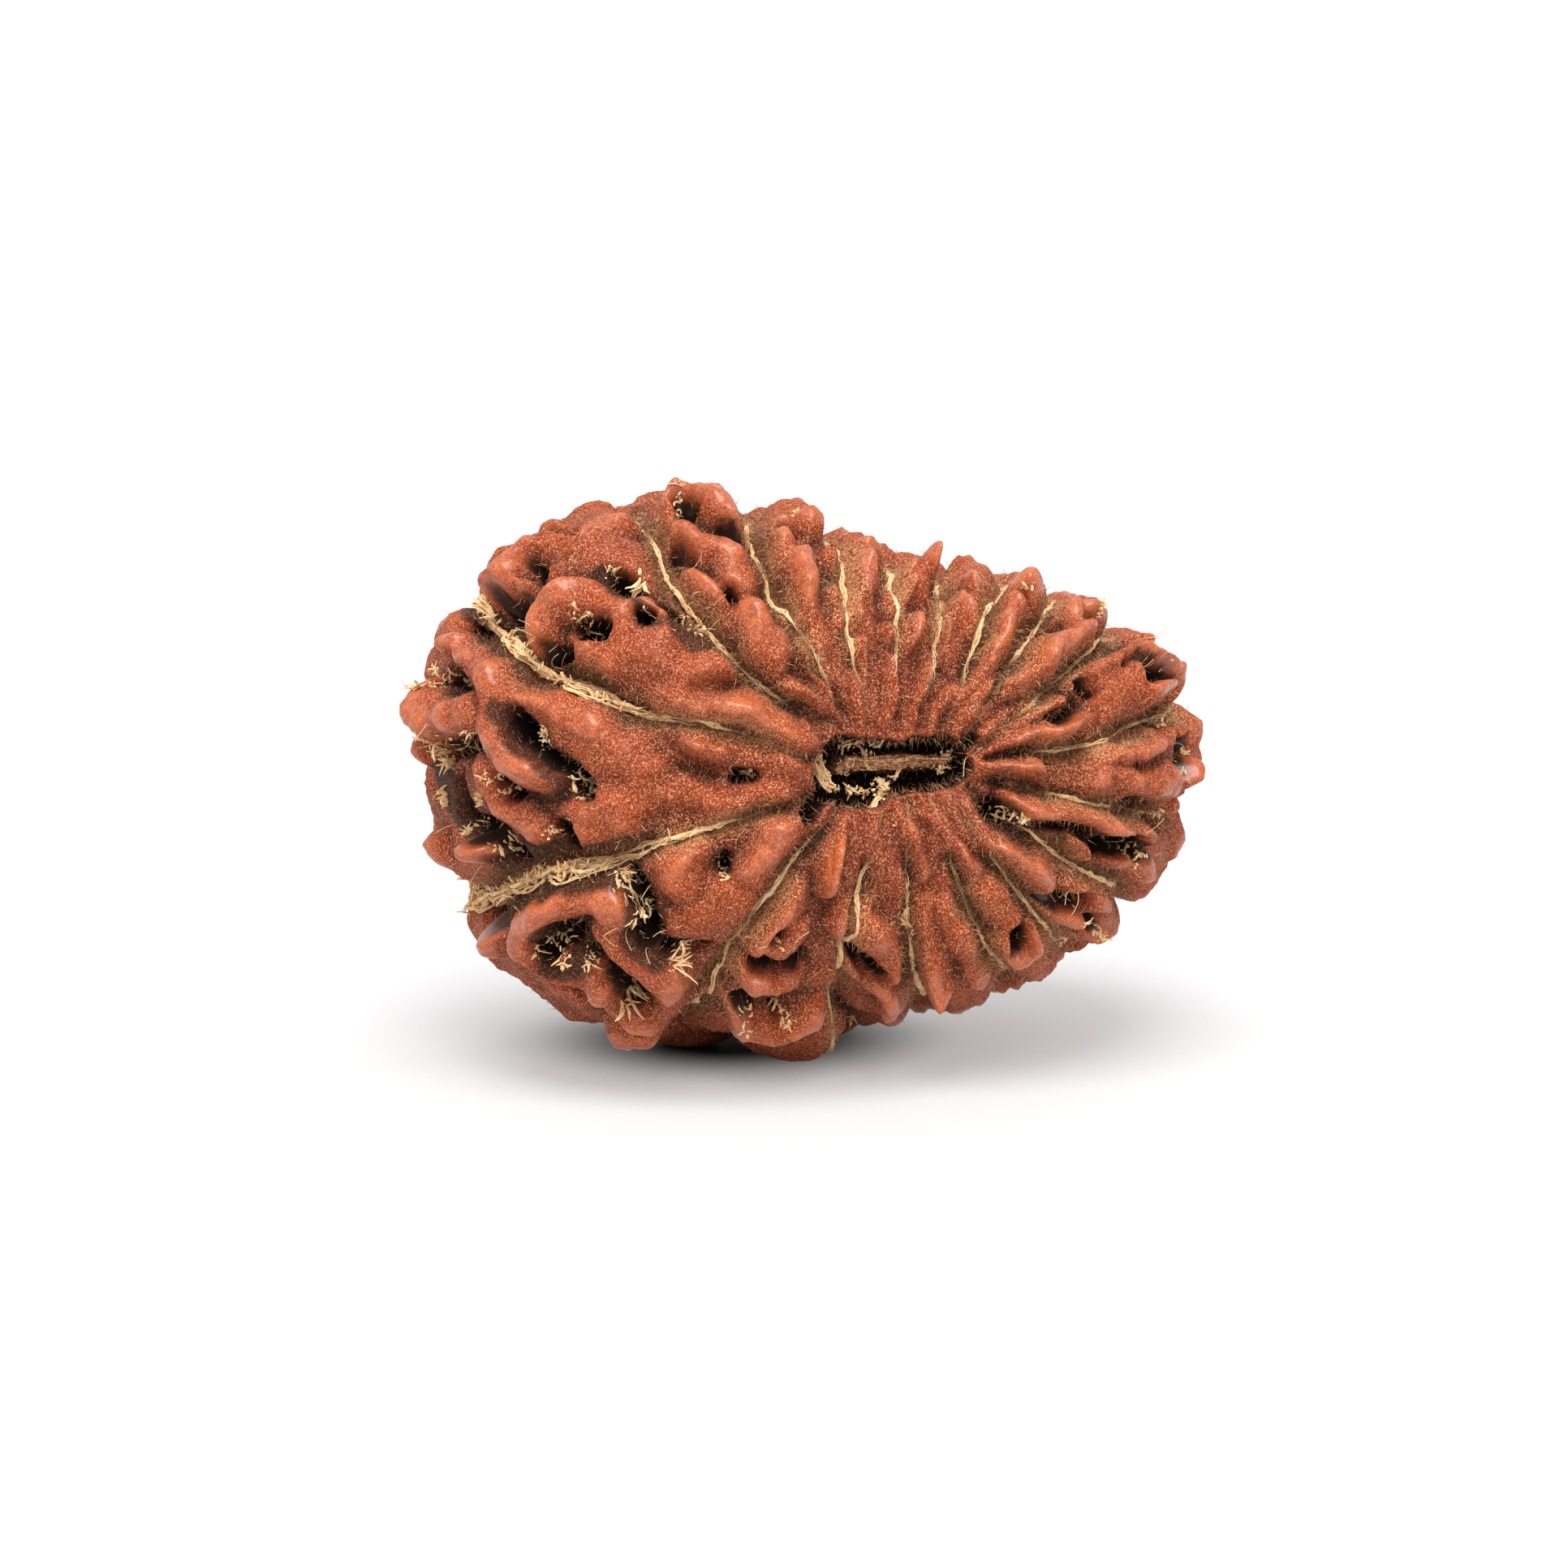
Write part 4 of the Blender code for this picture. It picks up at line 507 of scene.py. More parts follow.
def near_path(points, squares, path, reach):
    """Distance from each point to a path, no more than reach, and how far along it from 0 to 1."""
    best = np.full(len(points), reach)
    along = np.zeros(len(points))
    if len(path) == 1:
        path = np.vstack((path, path * 1.0001))
    lengths = np.linalg.norm(np.diff(path, axis=0), axis=1)
    starts = np.concatenate(((0.0,), np.cumsum(lengths)))
    for a, b, length, start in zip(path, path[1:], lengths, starts):
        middle = (a + b) / 2
        limit = reach + length / 2
        near = np.nonzero(squares - points @ (2 * middle) < limit**2 - middle @ middle)[0]
        spots = points[near]
        share = np.clip((spots - a) @ (b - a) / length**2, 0, 1)
        distance = np.linalg.norm(spots - a - share[:, None] * (b - a), axis=1)
        closer = distance < best[near]
        best[near[closer]] = distance[closer]
        along[near[closer]] = (start + share[closer] * length) / starts[-1]
    return best, along


def merge(a, b):
    """The higher of two rises from zero, rounded where they meet."""
    return (a**MERGE_POWER + b**MERGE_POWER) ** (1 / MERGE_POWER)


def seam_directions():
    """Each seam as one path, from the slot over the girth to the stalk scar at the back pole."""
    paths = []
    for corners in SEAMS:
        front = np.array([seen_at(x, y, 0.0) for x, y in corners])
        u, v, w = front[-1]
        angle, fall = math.atan2(v, u), math.acos(w)
        steps = np.linspace(0, 1, BACK_STEPS)[1:]
        falls = fall + (SCAR_FALL - fall) * steps
        turns = angle + BACK_SWAY * np.sin(steps * math.pi * 3 + 5 * angle)
        behind = np.stack((np.sin(falls) * np.cos(turns), np.sin(falls) * np.sin(turns), np.cos(falls)), 1)
        paths.append((smooth_path(np.vstack((front, behind))), len(front) / (len(front) + len(behind))))
    return paths


def turned_away(direction):
    """How far the form turns away from the front view at a spot, from -1 to 1."""
    normal = form_normals(on_form(direction[None, :]))[0]
    return -normal @ bead_axes() @ view_axes()[2]


def hidden_strokes(seams):
    """Knobs and pits of the side that the front view doesn't show, lobe by lobe."""
    draw = np.random.default_rng(HIDDEN_SEED)
    ridges, hollows = [], []
    for lobe, (left, share) in enumerate(seams):
        right = seams[(lobe + 1) % len(seams)][0]
        for row in range(HIDDEN_ROWS):
            along = share + (1 - share) * (row + 0.4 + draw.uniform(-0.25, 0.25)) / HIDDEN_ROWS
            a = left[int(along * (len(left) - 1))]
            b = right[int(along * (len(right) - 1))]
            width = np.linalg.norm(on_form(np.array((a, b)))[0] - on_form(np.array((a, b)))[1])
            late = row >= HIDDEN_ROWS - 2
            for side in (0.5,) if width < 2.2 else (0.28, 0.72):
                middle = unit(a + (b - a) * (side + draw.uniform(-0.08, 0.08)))
                ahead = unit(np.array((-middle[0] * middle[2], -middle[1] * middle[2], 1 - middle[2] ** 2)))
                aside = np.cross(middle, ahead)
                turn = draw.uniform(-0.9, 0.9) * (0.2 if late else 1.0)
                run = (math.cos(turn) * ahead + math.sin(turn) * aside) * draw.uniform(0.03, 0.09)
                half = min(1.3, max(0.6, 0.36 * width)) * draw.uniform(0.85, 1.2)
                rise = draw.uniform(0.6, 1.0) if not late else draw.uniform(0.4, 0.7)
                rise *= np.interp(turned_away(middle), *HIDDEN_RISE)
                ridges.append(("ridge", half, rise, unit(np.array((middle - run, middle, middle + run)))))
            if row < HIDDEN_ROWS - 2 and draw.uniform() < 0.55:
                spot = unit(a + (b - a) * draw.uniform(0.4, 0.6))
                spot = unit(spot + draw.normal(size=3) * 0.03)
                hollows.append(("pit", draw.uniform(0.35, 0.55), draw.uniform(1.4, 2.1), spot[None, :]))
    ridges = [stroke for stroke in ridges if turned_away(stroke[3][1]) > HIDDEN_LIMIT]
    return ridges, [pit for pit in hollows if turned_away(pit[3][0]) > HIDDEN_LIMIT]


def resting_level(points, squares):
    """Height of the low domes that the bead lies on, whose crowns reach a little below its plane."""
    level = np.full(len(points), -math.inf)
    for x, y in RESTING_SPOTS:
        down = (bead_axes() @ unit(np.array((x, y, -REST_HEIGHT))))[None, :]
        foot = in_row_frame(on_form(down))[0, 2]
        fall = -(form_normals(on_form(down)) @ bead_axes())[0, 2]
        distance, _ = near_path(points, squares, on_form(down), RESTING_RADIUS)
        dome = (foot + FLAT_CUT) / fall - RESTING_DROP * (distance / RESTING_RADIUS) ** 2
        level = np.where(distance < RESTING_RADIUS, np.maximum(level, dome), level)
    return level


def make_strokes():
    """Every stroke of the relief: the seams' paths, the ridges, and the hollows sunk between them."""
    seams = seam_directions()
    more_ridges, more_hollows = hidden_strokes(seams)
    ridges = [
        (kind, half, rise, smooth_path(np.array([seen_at(x, y, BODY_LEVEL + rise) for x, y in crest])))
        for kind, half, rise, *crest in RIDGES
    ]
    strokes = {"seams": [path for path, _ in seams], "ridges": ridges + more_ridges, "hollows": []}
    spots = seen_on_skin([place for _, _, _, *places in HOLLOWS for place in places], strokes)
    for kind, half, depth, *places in HOLLOWS:
        strokes["hollows"].append((kind, half, depth, smooth_path(spots[:len(places)])))
        spots = spots[len(places):]
    strokes["hollows"] += more_hollows
    return strokes


def warped(directions):
    """Points on the form, shifted about a little so that no stroke is quite even."""
    points = on_form(directions)
    shifts = [
        size * np.stack([ripple(points, length, seed + axis) for axis in range(3)], 1)
        for size, length, seed in WARPS
    ]
    return points + sum(shifts)


def relief(directions, strokes):
    """Height of the skin above the form in millimetres for unit vectors, and what made it."""
    points = warped(directions)
    squares = (points**2).sum(1)
    from_pole = np.degrees(np.arccos(np.clip(directions[:, 2], -1, 1)))
    gap = np.full(len(points), SEAM_REACH)
    for path in strokes["seams"]:
        gap = np.minimum(gap, near_path(points, squares, on_form(path), SEAM_REACH)[0])
    seam_width = np.interp(from_pole, *SEAM_WIDTHS)
    valley = np.exp(-((gap / seam_width) ** 2))
    level = BODY_LEVEL - np.interp(from_pole, *SEAM_DEPTHS) * valley
    knobs = np.zeros(len(points))
    for kind, half, rise, path in strokes["ridges"]:
        distance, along = near_path(points, squares, on_form(path), half)
        t = np.minimum(distance / half, 1)
        if kind == "swell":
            level += rise * (1 - t * t) ** 2
        elif kind == "thorn":
            knobs = merge(knobs, rise * (0.3 + 0.7 * along) * (1 - t) ** 1.2)
        else:
            along_rise = np.interp(along, *FINGER_RISE) if kind == "finger" else 1.0
            crest = FINGER_CREST if kind == "finger" else RIDGE_CREST
            knobs = merge(knobs, rise * along_rise * (1 - t**crest) ** 1.5)
    pits = np.zeros(len(points))
    slot, wood = np.zeros(len(points)), np.zeros(len(points))
    for kind, half, depth, path in strokes["hollows"]:
        floor, brim = SLOT_WALL if kind == "slot" else PIT_WALL
        distance, _ = near_path(points, squares, on_form(path), brim * half)
        t = np.clip((distance / half - floor) / (brim - floor), 0, 1)
        sunk = depth * (1 - t * t * (3 - 2 * t))
        pits = pits - sunk if kind == "bar" else np.maximum(pits, sunk)
        if kind == "slot":
            slot = np.maximum(slot, sunk / depth)
        elif kind == "bar":
            wood = sunk / depth
    size, length, seed = LUMPS
    knobs *= (1 - SEAM_CLEARING * valley) * (1 + size * ripple(points, length, seed))
    size, length, seed = WAVES
    level += size * ripple(points, length, seed)
    height = np.maximum(level + knobs - pits, resting_level(points, squares))
    marks = {
        "seam": gap + np.interp(from_pole, *SEAM_START), "sunk": pits, "slot": slot, "wood": wood,
        "reach": from_pole / 90,
    }
    return height, marks


def in_row_frame(points):
    """From the bead's frame to the row frame, standing on the plane at zero height."""
    return points @ bead_axes() + (0.0, 0.0, REST_HEIGHT)


def spread_out(values, edges, rounds):
    """Averages the value at each vertex with its neighbours' values, over and over."""
    here = np.concatenate((edges[:, 0], edges[:, 1]))
    there = np.concatenate((edges[:, 1], edges[:, 0]))
    neighbours = np.bincount(here, minlength=len(values))
    for _ in range(rounds):
        values = (values + np.bincount(here, values[there], len(values)) / neighbours) / 2
    return values


def store(mesh, name, values):
    """Keeps one value for each vertex under a name that a finish or a node group can read."""
    mesh.attributes.new(name, "FLOAT", "POINT").data.foreach_set("value", values.astype(np.float32))


# How fine the skin is, and its smallest wrinkles: height, wavelength and seed
FINE_LEVEL = 8
STONE_TRIANGLES = 194000
GNARLS = ((0.03, 0.9, 11), (0.028, 0.45, 12))

# Rounds of levelling that tell a crest from the skin near it, and a swell from the lobe it is on
NEAR_ROUNDS = 24
WIDE_ROUNDS = 220

# Where the skin is blackened: how far it reaches to each side, then its path in the front view
BLACK_PATCHES = (
    (1.1, ((-14.0, -0.4), (-13.2, -1.6), (-12.4, -2.8), (-11.0, -3.4), (-9.0, -3.3), (-7.0, -3.1))),
    (0.9, ((-11.0, -5.0), (-9.0, -4.6), (-7.2, -4.4), (-6.6, -5.2), (-6.2, -6.2), (-5.6, -7.2))),
    (0.9, ((-10.3, -6.4), (-9.6, -7.3), (-8.6, -7.4))),
    (0.8, ((-13.6, 6.8), (-12.2, 5.6), (-10.8, 4.4), (-9.4, 3.6))),
    (0.9, ((-12.0, 2.2), (-11.0, 1.6), (-10.2, 0.6), (-8.6, -0.6))),
    (0.8, ((-7.4, 6.8), (-6.4, 6.2), (-5.2, 5.6), (-4.2, 4.8))),
    (0.7, ((7.2, -1.4), (8.2, -2.0), (9.6, -2.6))),
    (0.8, ((11.2, -2.6), (12.4, -3.2), (13.0, -3.0))),
    (0.7, ((11.6, 4.4), (12.8, 4.6), (13.8, 3.4))),
)

strokes = make_strokes()
ball = bmesh.new()
bmesh.ops.create_icosphere(ball, subdivisions=FINE_LEVEL, radius=1.0)
stone_mesh = bpy.data.meshes.new("stone")
ball.to_mesh(stone_mesh)
ball.free()
corner_count = len(stone_mesh.vertices)
facing = np.empty(corner_count * 3)
stone_mesh.vertices.foreach_get("co", facing)
facing = unit(facing.reshape(-1, 3))
edges = np.empty(len(stone_mesh.edges) * 2, dtype=np.int32)
stone_mesh.edges.foreach_get("vertices", edges)
edges = edges.reshape(-1, 2)
form = on_form(facing)
height, marks = relief(facing, strokes)
for size, length, seed in GNARLS:
    height = height + size * ripple(form, length, seed)
unsunk = height + marks["sunk"]
near = spread_out(unsunk, edges, NEAR_ROUNDS)
wide = spread_out(near, edges, WIDE_ROUNDS)
skin = in_row_frame(form + height[:, None] * form_normals(form))
skin[:, 2] = np.maximum(skin[:, 2], 0.0)
stone_mesh.vertices.foreach_set("co", (skin * MM).ravel())
store(stone_mesh, "crest", unsunk - near)
store(stone_mesh, "swell", near - wide)
for name, values in marks.items():
    store(stone_mesh, name, values)
black_patches = np.zeros(corner_count)
for spread, places in BLACK_PATCHES:
    for spot in on_form(smooth_path(seen_on_skin(places, strokes), 5)):
        black_patches = np.maximum(black_patches, 1 - np.linalg.norm(form - spot, axis=1) / spread)
store(stone_mesh, "black_patches", black_patches)
stone_mesh.shade_smooth()
stone = bpy.data.objects.new("stone", stone_mesh)
bpy.context.scene.collection.objects.link(stone)
if len(stone_mesh.polygons) > STONE_TRIANGLES:
    thin = stone.modifiers.new("fewer faces", "DECIMATE")
    thin.ratio = STONE_TRIANGLES / len(stone_mesh.polygons)
    thinned = bpy.data.meshes.new_from_object(stone.evaluated_get(bpy.context.evaluated_depsgraph_get()))
    stone.modifiers.remove(thin)
    stone.data = thinned
    stone.data.shade_smooth()


class Wire:
    """An output socket of a node tree. Arithmetic on wires and numbers adds Math nodes."""

    def __init__(self, tree, socket):
        self.tree = tree
        self.socket = socket

    def maths(self, operation, *values):
        return add_node(self.tree, "ShaderNodeMath", {"operation": operation}, dict(enumerate(values)))

    def out(self, name):
        return Wire(self.tree, self.socket.node.outputs[name])

    def __add__(self, other):
        return self.maths("ADD", self, other)

    def __sub__(self, other):
        return self.maths("SUBTRACT", self, other)

    def __rsub__(self, other):
        return self.maths("SUBTRACT", other, self)

    def __mul__(self, other):
        return self.maths("MULTIPLY", self, other)

    __radd__ = __add__
    __rmul__ = __mul__

    def between(self, low, high):
        """Goes smoothly from 0 at low to 1 at high; low may be the larger."""
        low_first = low < high
        ends = {"From Min": min(low, high), "From Max": max(low, high)}
        ends.update({"To Min": 0.0 if low_first else 1.0, "To Max": 1.0 if low_first else 0.0})
        settings = {"interpolation_type": "SMOOTHSTEP"}
        return add_node(self.tree, "ShaderNodeMapRange", settings, {"Value": self, **ends})

    def at_most(self, other):
        return self.maths("MINIMUM", self, other)


def add_node(tree, kind, settings=None, sockets=None):
    """A node of a type, with its settings made first and then values or wires on its sockets."""
    node = tree.nodes.new(kind)
    for name, value in (settings or {}).items():
        setattr(node, name, value)
    for name, value in (sockets or {}).items():
        matches = [s for s in node.inputs if name in (s.identifier, s.name) and s.enabled]
        socket = node.inputs[name] if isinstance(name, int) else matches[0]
        if isinstance(value, Wire):
            tree.links.new(value.socket, socket)
        else:
            socket.default_value = value
    return Wire(tree, next(s for s in node.outputs if s.enabled)) if node.outputs else None


def mixed(share, low, high):
    """A colour part of the way from one to another; each is a wire or red, green and blue."""
    ends = {"A_Color": low, "B_Color": high}
    ends = {name: end if isinstance(end, Wire) else (*end, 1.0) for name, end in ends.items()}
    return add_node(share.tree, "ShaderNodeMix", {"data_type": "RGBA"}, {"Factor_Float": share, **ends})


def new_material(name):
    """A material with an empty node tree."""
    material = bpy.data.materials.new(name)
    material.use_nodes = True
    material.node_tree.nodes.clear()
    return material


def finish_material(tree, sockets):
    """Ends a tree in one principled shader."""
    shader = add_node(tree, "ShaderNodeBsdfPrincipled", None, sockets)
    add_node(tree, "ShaderNodeOutputMaterial", None, {"Surface": shader})


def noise(spot, scale, detail=2.0, roughness=0.5):
    """Smooth noise from 0 to 1 with this many waves to the millimetre."""
    sockets = {"Vector": spot, "Scale": scale, "Detail": detail, "Roughness": roughness}
    return add_node(spot.tree, "ShaderNodeTexNoise", None, sockets)


PIGMENT_SHARE = 0.72


def from_screen(red, green, blue, share=PIGMENT_SHARE):
    """What gives a colour, 0 to 255 as a screen shows it, under the bright light of this room."""
    return tuple(share * ((c / 255 + 0.055) / 1.055) ** 2.4 for c in (red, green, blue))


def mark(tree, name):
    """The value that was stored on the mesh under a name."""
    return add_node(tree, "ShaderNodeAttribute", {"attribute_name": name}).out("Fac")


def scaled(vector, scale):
    """A wire's vector made this many times as long."""
    sockets = {"Vector": vector, "Scale": scale}
    return add_node(vector.tree, "ShaderNodeVectorMath", {"operation": "SCALE"}, sockets)


def in_millimetres(tree):
    """The place on the object, in millimetres."""
    return scaled(add_node(tree, "ShaderNodeTexCoord").out("Object"), 1 / MM)


skin_finish = new_material("stone skin")
tree = skin_finish.node_tree
spot = in_millimetres(tree)
crest, swell, sunk, seam, slot, wood, black_patches, reach = (
    mark(tree, name) for name in ("crest", "swell", "sunk", "seam", "slot", "wood", "black_patches", "reach")
)
cloud = noise(spot, 0.4, 3.0)
mottle = noise(spot, 2.2, 4.0, 0.6)
fuzz = noise(spot, 7.0, 3.0, 0.8)
grain = noise(spot, 15.0, 2.0, 0.75)
uneven = mottle - 0.5
groove = seam.between(0.9, 0.1)
near_slot = reach.between(0.5, 0.2)

# dull red brown, with painted shade darkening the valleys, and orange where handling has polished the crests
raised = crest * 2.4 + swell * 1.2 + uneven * 0.5
middle = mixed(cloud.between(0.35, 0.65), from_screen(192, 80, 36), from_screen(178, 78, 46))
body = mixed((raised + (cloud - 0.5) * 0.8).between(-0.5, 0.4), from_screen(126, 46, 18), middle)
polished = crest * 1.8 + swell * 1.6 + uneven * 0.6 + (cloud - 0.5) * 1.4 - near_slot * 0.3
polished = polished.between(0.5, 1.2)
orange = mixed(mottle.between(0.35, 0.65), from_screen(194, 82, 32), from_screen(228, 112, 46))
body = mixed(polished * 0.85, body, orange)
coat = 1 - polished * 0.5

# painted shade in the hollows, and near-black patches that keep off the crests
# painted shade: concave parts of the relief are mixed towards a dark brown
painted_hollow_shade = (crest * -2.4 - swell * 1.6 + uneven * 0.5 - groove * 0.8).between(0.35, 1.2)
body = mixed(painted_hollow_shade * 0.55, body, from_screen(92, 36, 14))
# near-black patches along the given paths, kept off the crests
black = (black_patches * 1.3 - raised * 0.7 + (fuzz - 0.5) * 0.9 + uneven * 0.7).between(0.2, 0.7)
body = mixed(black * 0.88, body, from_screen(46, 26, 16))
unblackened = 1 - black * 0.65

# the sandy banks of the seams, and dust in the grooves
bank = (seam.between(0.45, 0.05) + uneven * 0.8 + (cloud - 0.5)).between(0.1, 0.8)
bank = bank * seam.between(0.6, 0.3) * unblackened
body = mixed(bank * 0.6, body, from_screen(218, 138, 92))
sand = (groove + uneven * 1.6 + (fuzz - 0.5)).between(0.45, 1.1) * unblackened
body = mixed(sand * 0.3, body, from_screen(220, 134, 84))

# pale specks of dust, thickest in the grooves and round the slot, and dark pores between them;
# on the crests near the slot the specks are thicker still as a painted highlight
pale = mixed(groove, from_screen(255, 202, 158), from_screen(255, 208, 152))
dusty = coat * unblackened * (0.65 + groove * 0.25 + near_slot * crest.between(0.0, 0.1) * 0.3)
body = mixed((fuzz * 0.3 + grain * 0.7 + groove * 0.02).between(0.525, 0.595) * dusty, body, pale)
body = mixed((fuzz * 0.4 + grain * 0.6).between(0.48, 0.4) * coat * 0.7, body, from_screen(84, 28, 12))

# painted shade in the slot, painted shade that blackens the pits, and the bare wood of the bar on the slot's
# floor
# painted shade: the slot's walls and floor go dark, and the pits go nearly black by their depth
painted_slot_shade = slot.between(0.0, 0.2) * mottle.between(0.2, 0.55)
body = mixed(painted_slot_shade * 0.85, body, from_screen(60, 30, 20))
painted_pit_shade = (sunk + uneven * 0.9 + (fuzz - 0.5) * 0.8).between(0.2, 0.9)
body = mixed(painted_pit_shade * 0.97, body, from_screen(26, 13, 6))
bark = mixed(fuzz.between(0.4, 0.6), from_screen(120, 60, 38), from_screen(240, 164, 112))
body = mixed(wood.between(0.2, 0.7) * 0.95, body, bark)

rough = 0.65 - polished * 0.1 + (fuzz - 0.5) * 0.3 + painted_pit_shade * 0.2
bumps = (fuzz + grain * 0.6) * coat * 1.2 + mottle * 0.6
bump = add_node(tree, "ShaderNodeBump", None, {"Strength": 0.9, "Distance": 0.07 * MM, "Height": bumps})
finish_material(tree, {
    "Base Color": body, "Roughness": rough.at_most(0.95), "Normal": bump, "Specular IOR Level": 0.15,
    "Coat Weight": polished * 0.9, "Coat Roughness": 0.29, "Coat IOR": 1.5,
})
stone.data.materials.clear()
stone.data.materials.append(skin_finish)
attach(stone, "root")
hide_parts("bead")


# The threads of dried flesh that run along the bottom of every seam, from near the slot to the
# stalk scar: a few fine, wandering strands of pale straw colour, pressed into the groove.

THREAD_SPACING = 0.2
THREAD_LIFT = 0.1
THREAD_WIDTH = 0.075
THREAD_STRANDS = 8
THREAD_SPREAD = 0.13
THREAD_START = 1.6
THREAD_FADE = 2.2


def skin_at(directions, lift):
    """Points in the row frame, in millimetres, this far above the skin, and the way out there."""
    form = on_form(directions)
    normals = form_normals(form)
    height, _ = relief(directions, strokes)
    return in_row_frame(form + (height + lift)[:, None] * normals), normals @ bead_axes()


def closer_steps(path, spacing):
    """The same path with points about this far apart, and how far along it each one lies."""
    points = on_form(path)
    starts = np.concatenate(((0.0,), np.cumsum(np.linalg.norm(np.diff(points, axis=0), axis=1))))
    stops = np.linspace(0, starts[-1], max(2, int(starts[-1] / spacing)))
    return unit(np.stack([np.interp(stops, starts, path[:, axis]) for axis in range(3)], 1)), stops


fibre_finish = new_material("dry fibre")
tree = fibre_finish.node_tree
spot = in_millimetres(tree)
patch = noise(spot, 4.0, 3.0, 0.6)
streak = noise(spot, 13.0, 2.0, 0.6)
straw = mixed(patch.between(0.3, 0.7), from_screen(248, 192, 126, 0.97), from_screen(255, 230, 184, 0.92))
straw = mixed(streak.between(0.48, 0.36) * 0.5, straw, from_screen(206, 124, 70))
ridged = add_node(tree, "ShaderNodeBump", None, {"Strength": 0.6, "Distance": 0.03 * MM, "Height": streak})
finish_material(tree, {"Base Color": straw, "Roughness": 0.8, "Normal": ridged})


def new_growth(name, inputs):
    """A node group that grows one mesh on another, with its named inputs, and a wire from them."""
    tree = bpy.data.node_groups.new(name, "GeometryNodeTree")
    tree.interface.new_socket("Geometry", in_out="OUTPUT", socket_type="NodeSocketGeometry")
    for label, kind in {"Geometry": "Geometry", **inputs, "Material": "Material"}.items():
        tree.interface.new_socket(label, in_out="INPUT", socket_type="NodeSocket" + kind)
    return tree, add_node(tree, "NodeGroupInput")


def end_growth(grown, given):
    """Ends a node group: what has grown becomes plain mesh and gets its material."""
    grown = add_node(grown.tree, "GeometryNodeRealizeInstances", None, {"Geometry": grown})
    finished = {"Geometry": grown, "Material": given.out("Material")}
    finished = add_node(grown.tree, "GeometryNodeSetMaterial", None, finished)
    add_node(grown.tree, "NodeGroupOutput", None, {"Geometry": finished})


def stored(tree, name):
    """The value that was stored on the mesh under a name, in a node group."""
    return add_node(tree, "GeometryNodeInputNamedAttribute", {"data_type": "FLOAT"}, {"Name": name})


# Each line is copied, every copy drifts off its own way by a noise, and a flat strip is swept along
strand_tree, given = new_growth("fibre strands", {
    "Copies": "Int", "Spread": "Float", "Waves": "Float", "Flatness": "Float", "Seed": "Float",
})
tree = strand_tree
lines = add_node(tree, "GeometryNodeMeshToCurve", None, {"Mesh": given.out("Geometry")})
lines = {"Geometry": lines, "Amount": given.out("Copies")}
lines = add_node(tree, "GeometryNodeDuplicateElements", {"domain": "SPLINE"}, lines)
apart = lines.out("Duplicate Index") * 7.3 + given.out("Seed")
apart = add_node(tree, "ShaderNodeCombineXYZ", None, {"X": apart, "Y": apart * 0.7, "Z": apart * -0.4})
place = scaled(add_node(tree, "GeometryNodeInputPosition"), given.out("Waves"))
place = add_node(tree, "ShaderNodeVectorMath", {"operation": "ADD"}, {0: place, 1: apart})
drift = add_node(tree, "ShaderNodeTexNoise", None, {"Vector": place, "Scale": 1.0, "Detail": 2.0})
shift = {0: drift.out("Color"), 1: (0.5, 0.5, 0.5)}
shift = add_node(tree, "ShaderNodeVectorMath", {"operation": "SUBTRACT"}, shift)
shift = scaled(shift, given.out("Spread") * 4)
lines = add_node(tree, "GeometryNodeSetPosition", None, {"Geometry": lines, "Offset": shift})
strip = {"Width": 1.0, "Height": given.out("Flatness")}
strip = add_node(tree, "GeometryNodeCurvePrimitiveQuadrilateral", None, strip)
width = stored(tree, "width") * (drift * 1.6 + 0.2)
sweep = {"Curve": lines, "Profile Curve": strip, "Scale": width, "Fill Caps": True}
end_growth(add_node(tree, "GeometryNodeCurveToMesh", None, sweep), given)


def grow_piece(name, mesh, group, values):
    """What a node group grows on a mesh, kept as one plain piece that ends at the floor."""
    piece = bpy.data.objects.new(name, mesh)
    bpy.context.scene.collection.objects.link(piece)
    grow = piece.modifiers.new("grow", "NODES")
    grow.node_group = group
    for socket in group.interface.items_tree:
        if socket.in_out == "INPUT" and socket.name in values:
            grow[socket.identifier] = values[socket.name]
    piece.data = bpy.data.meshes.new_from_object(piece.evaluated_get(bpy.context.evaluated_depsgraph_get()))
    piece.modifiers.remove(grow)
    corners = np.empty(len(piece.data.vertices) * 3)
    piece.data.vertices.foreach_get("co", corners)
    corners[2::3] = np.maximum(corners[2::3], 0.0)
    piece.data.vertices.foreach_set("co", corners)
    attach(piece, "root")


def lay_fibre(name, lines, widths, values):
    """Fibre strands along lines in millimetres."""
    mesh = bpy.data.meshes.new(name)
    links = []
    start = 0
    for line in lines:
        links += [(k, k + 1) for k in range(start, start + len(line) - 1)]
        start += len(line)
    mesh.from_pydata((np.vstack(lines) * MM).tolist(), links, [])
    store(mesh, "width", np.concatenate(widths) * MM)
    usual = {"Copies": 1, "Spread": 0.0, "Waves": 0.0, "Seed": 0.0, "Material": fibre_finish}
    grow_piece(name, mesh, strand_tree, {**usual, **values})


lines, widths = [], []
for path in strokes["seams"]:
    steps, stops = closer_steps(path, THREAD_SPACING)
    points, _ = skin_at(steps, THREAD_LIFT)
    patchy = np.clip(0.7 + 0.9 * ripple(points, 2.5, 31), 0.1, 1.5)
    lines.append(points)
    widths.append(THREAD_WIDTH * patchy * np.clip((stops - THREAD_START) / THREAD_FADE, 0.02, 1))
values = {"Copies": THREAD_STRANDS, "Spread": THREAD_SPREAD * MM, "Waves": 1500.0, "Flatness": 0.6}
lay_fibre("seam_threads", lines, widths, values)


# The mats of torn flesh in the two seams that gape on the left, and in the branch that runs down
# into the black pit: long strands that lie along the seam, with short splinters torn across them.

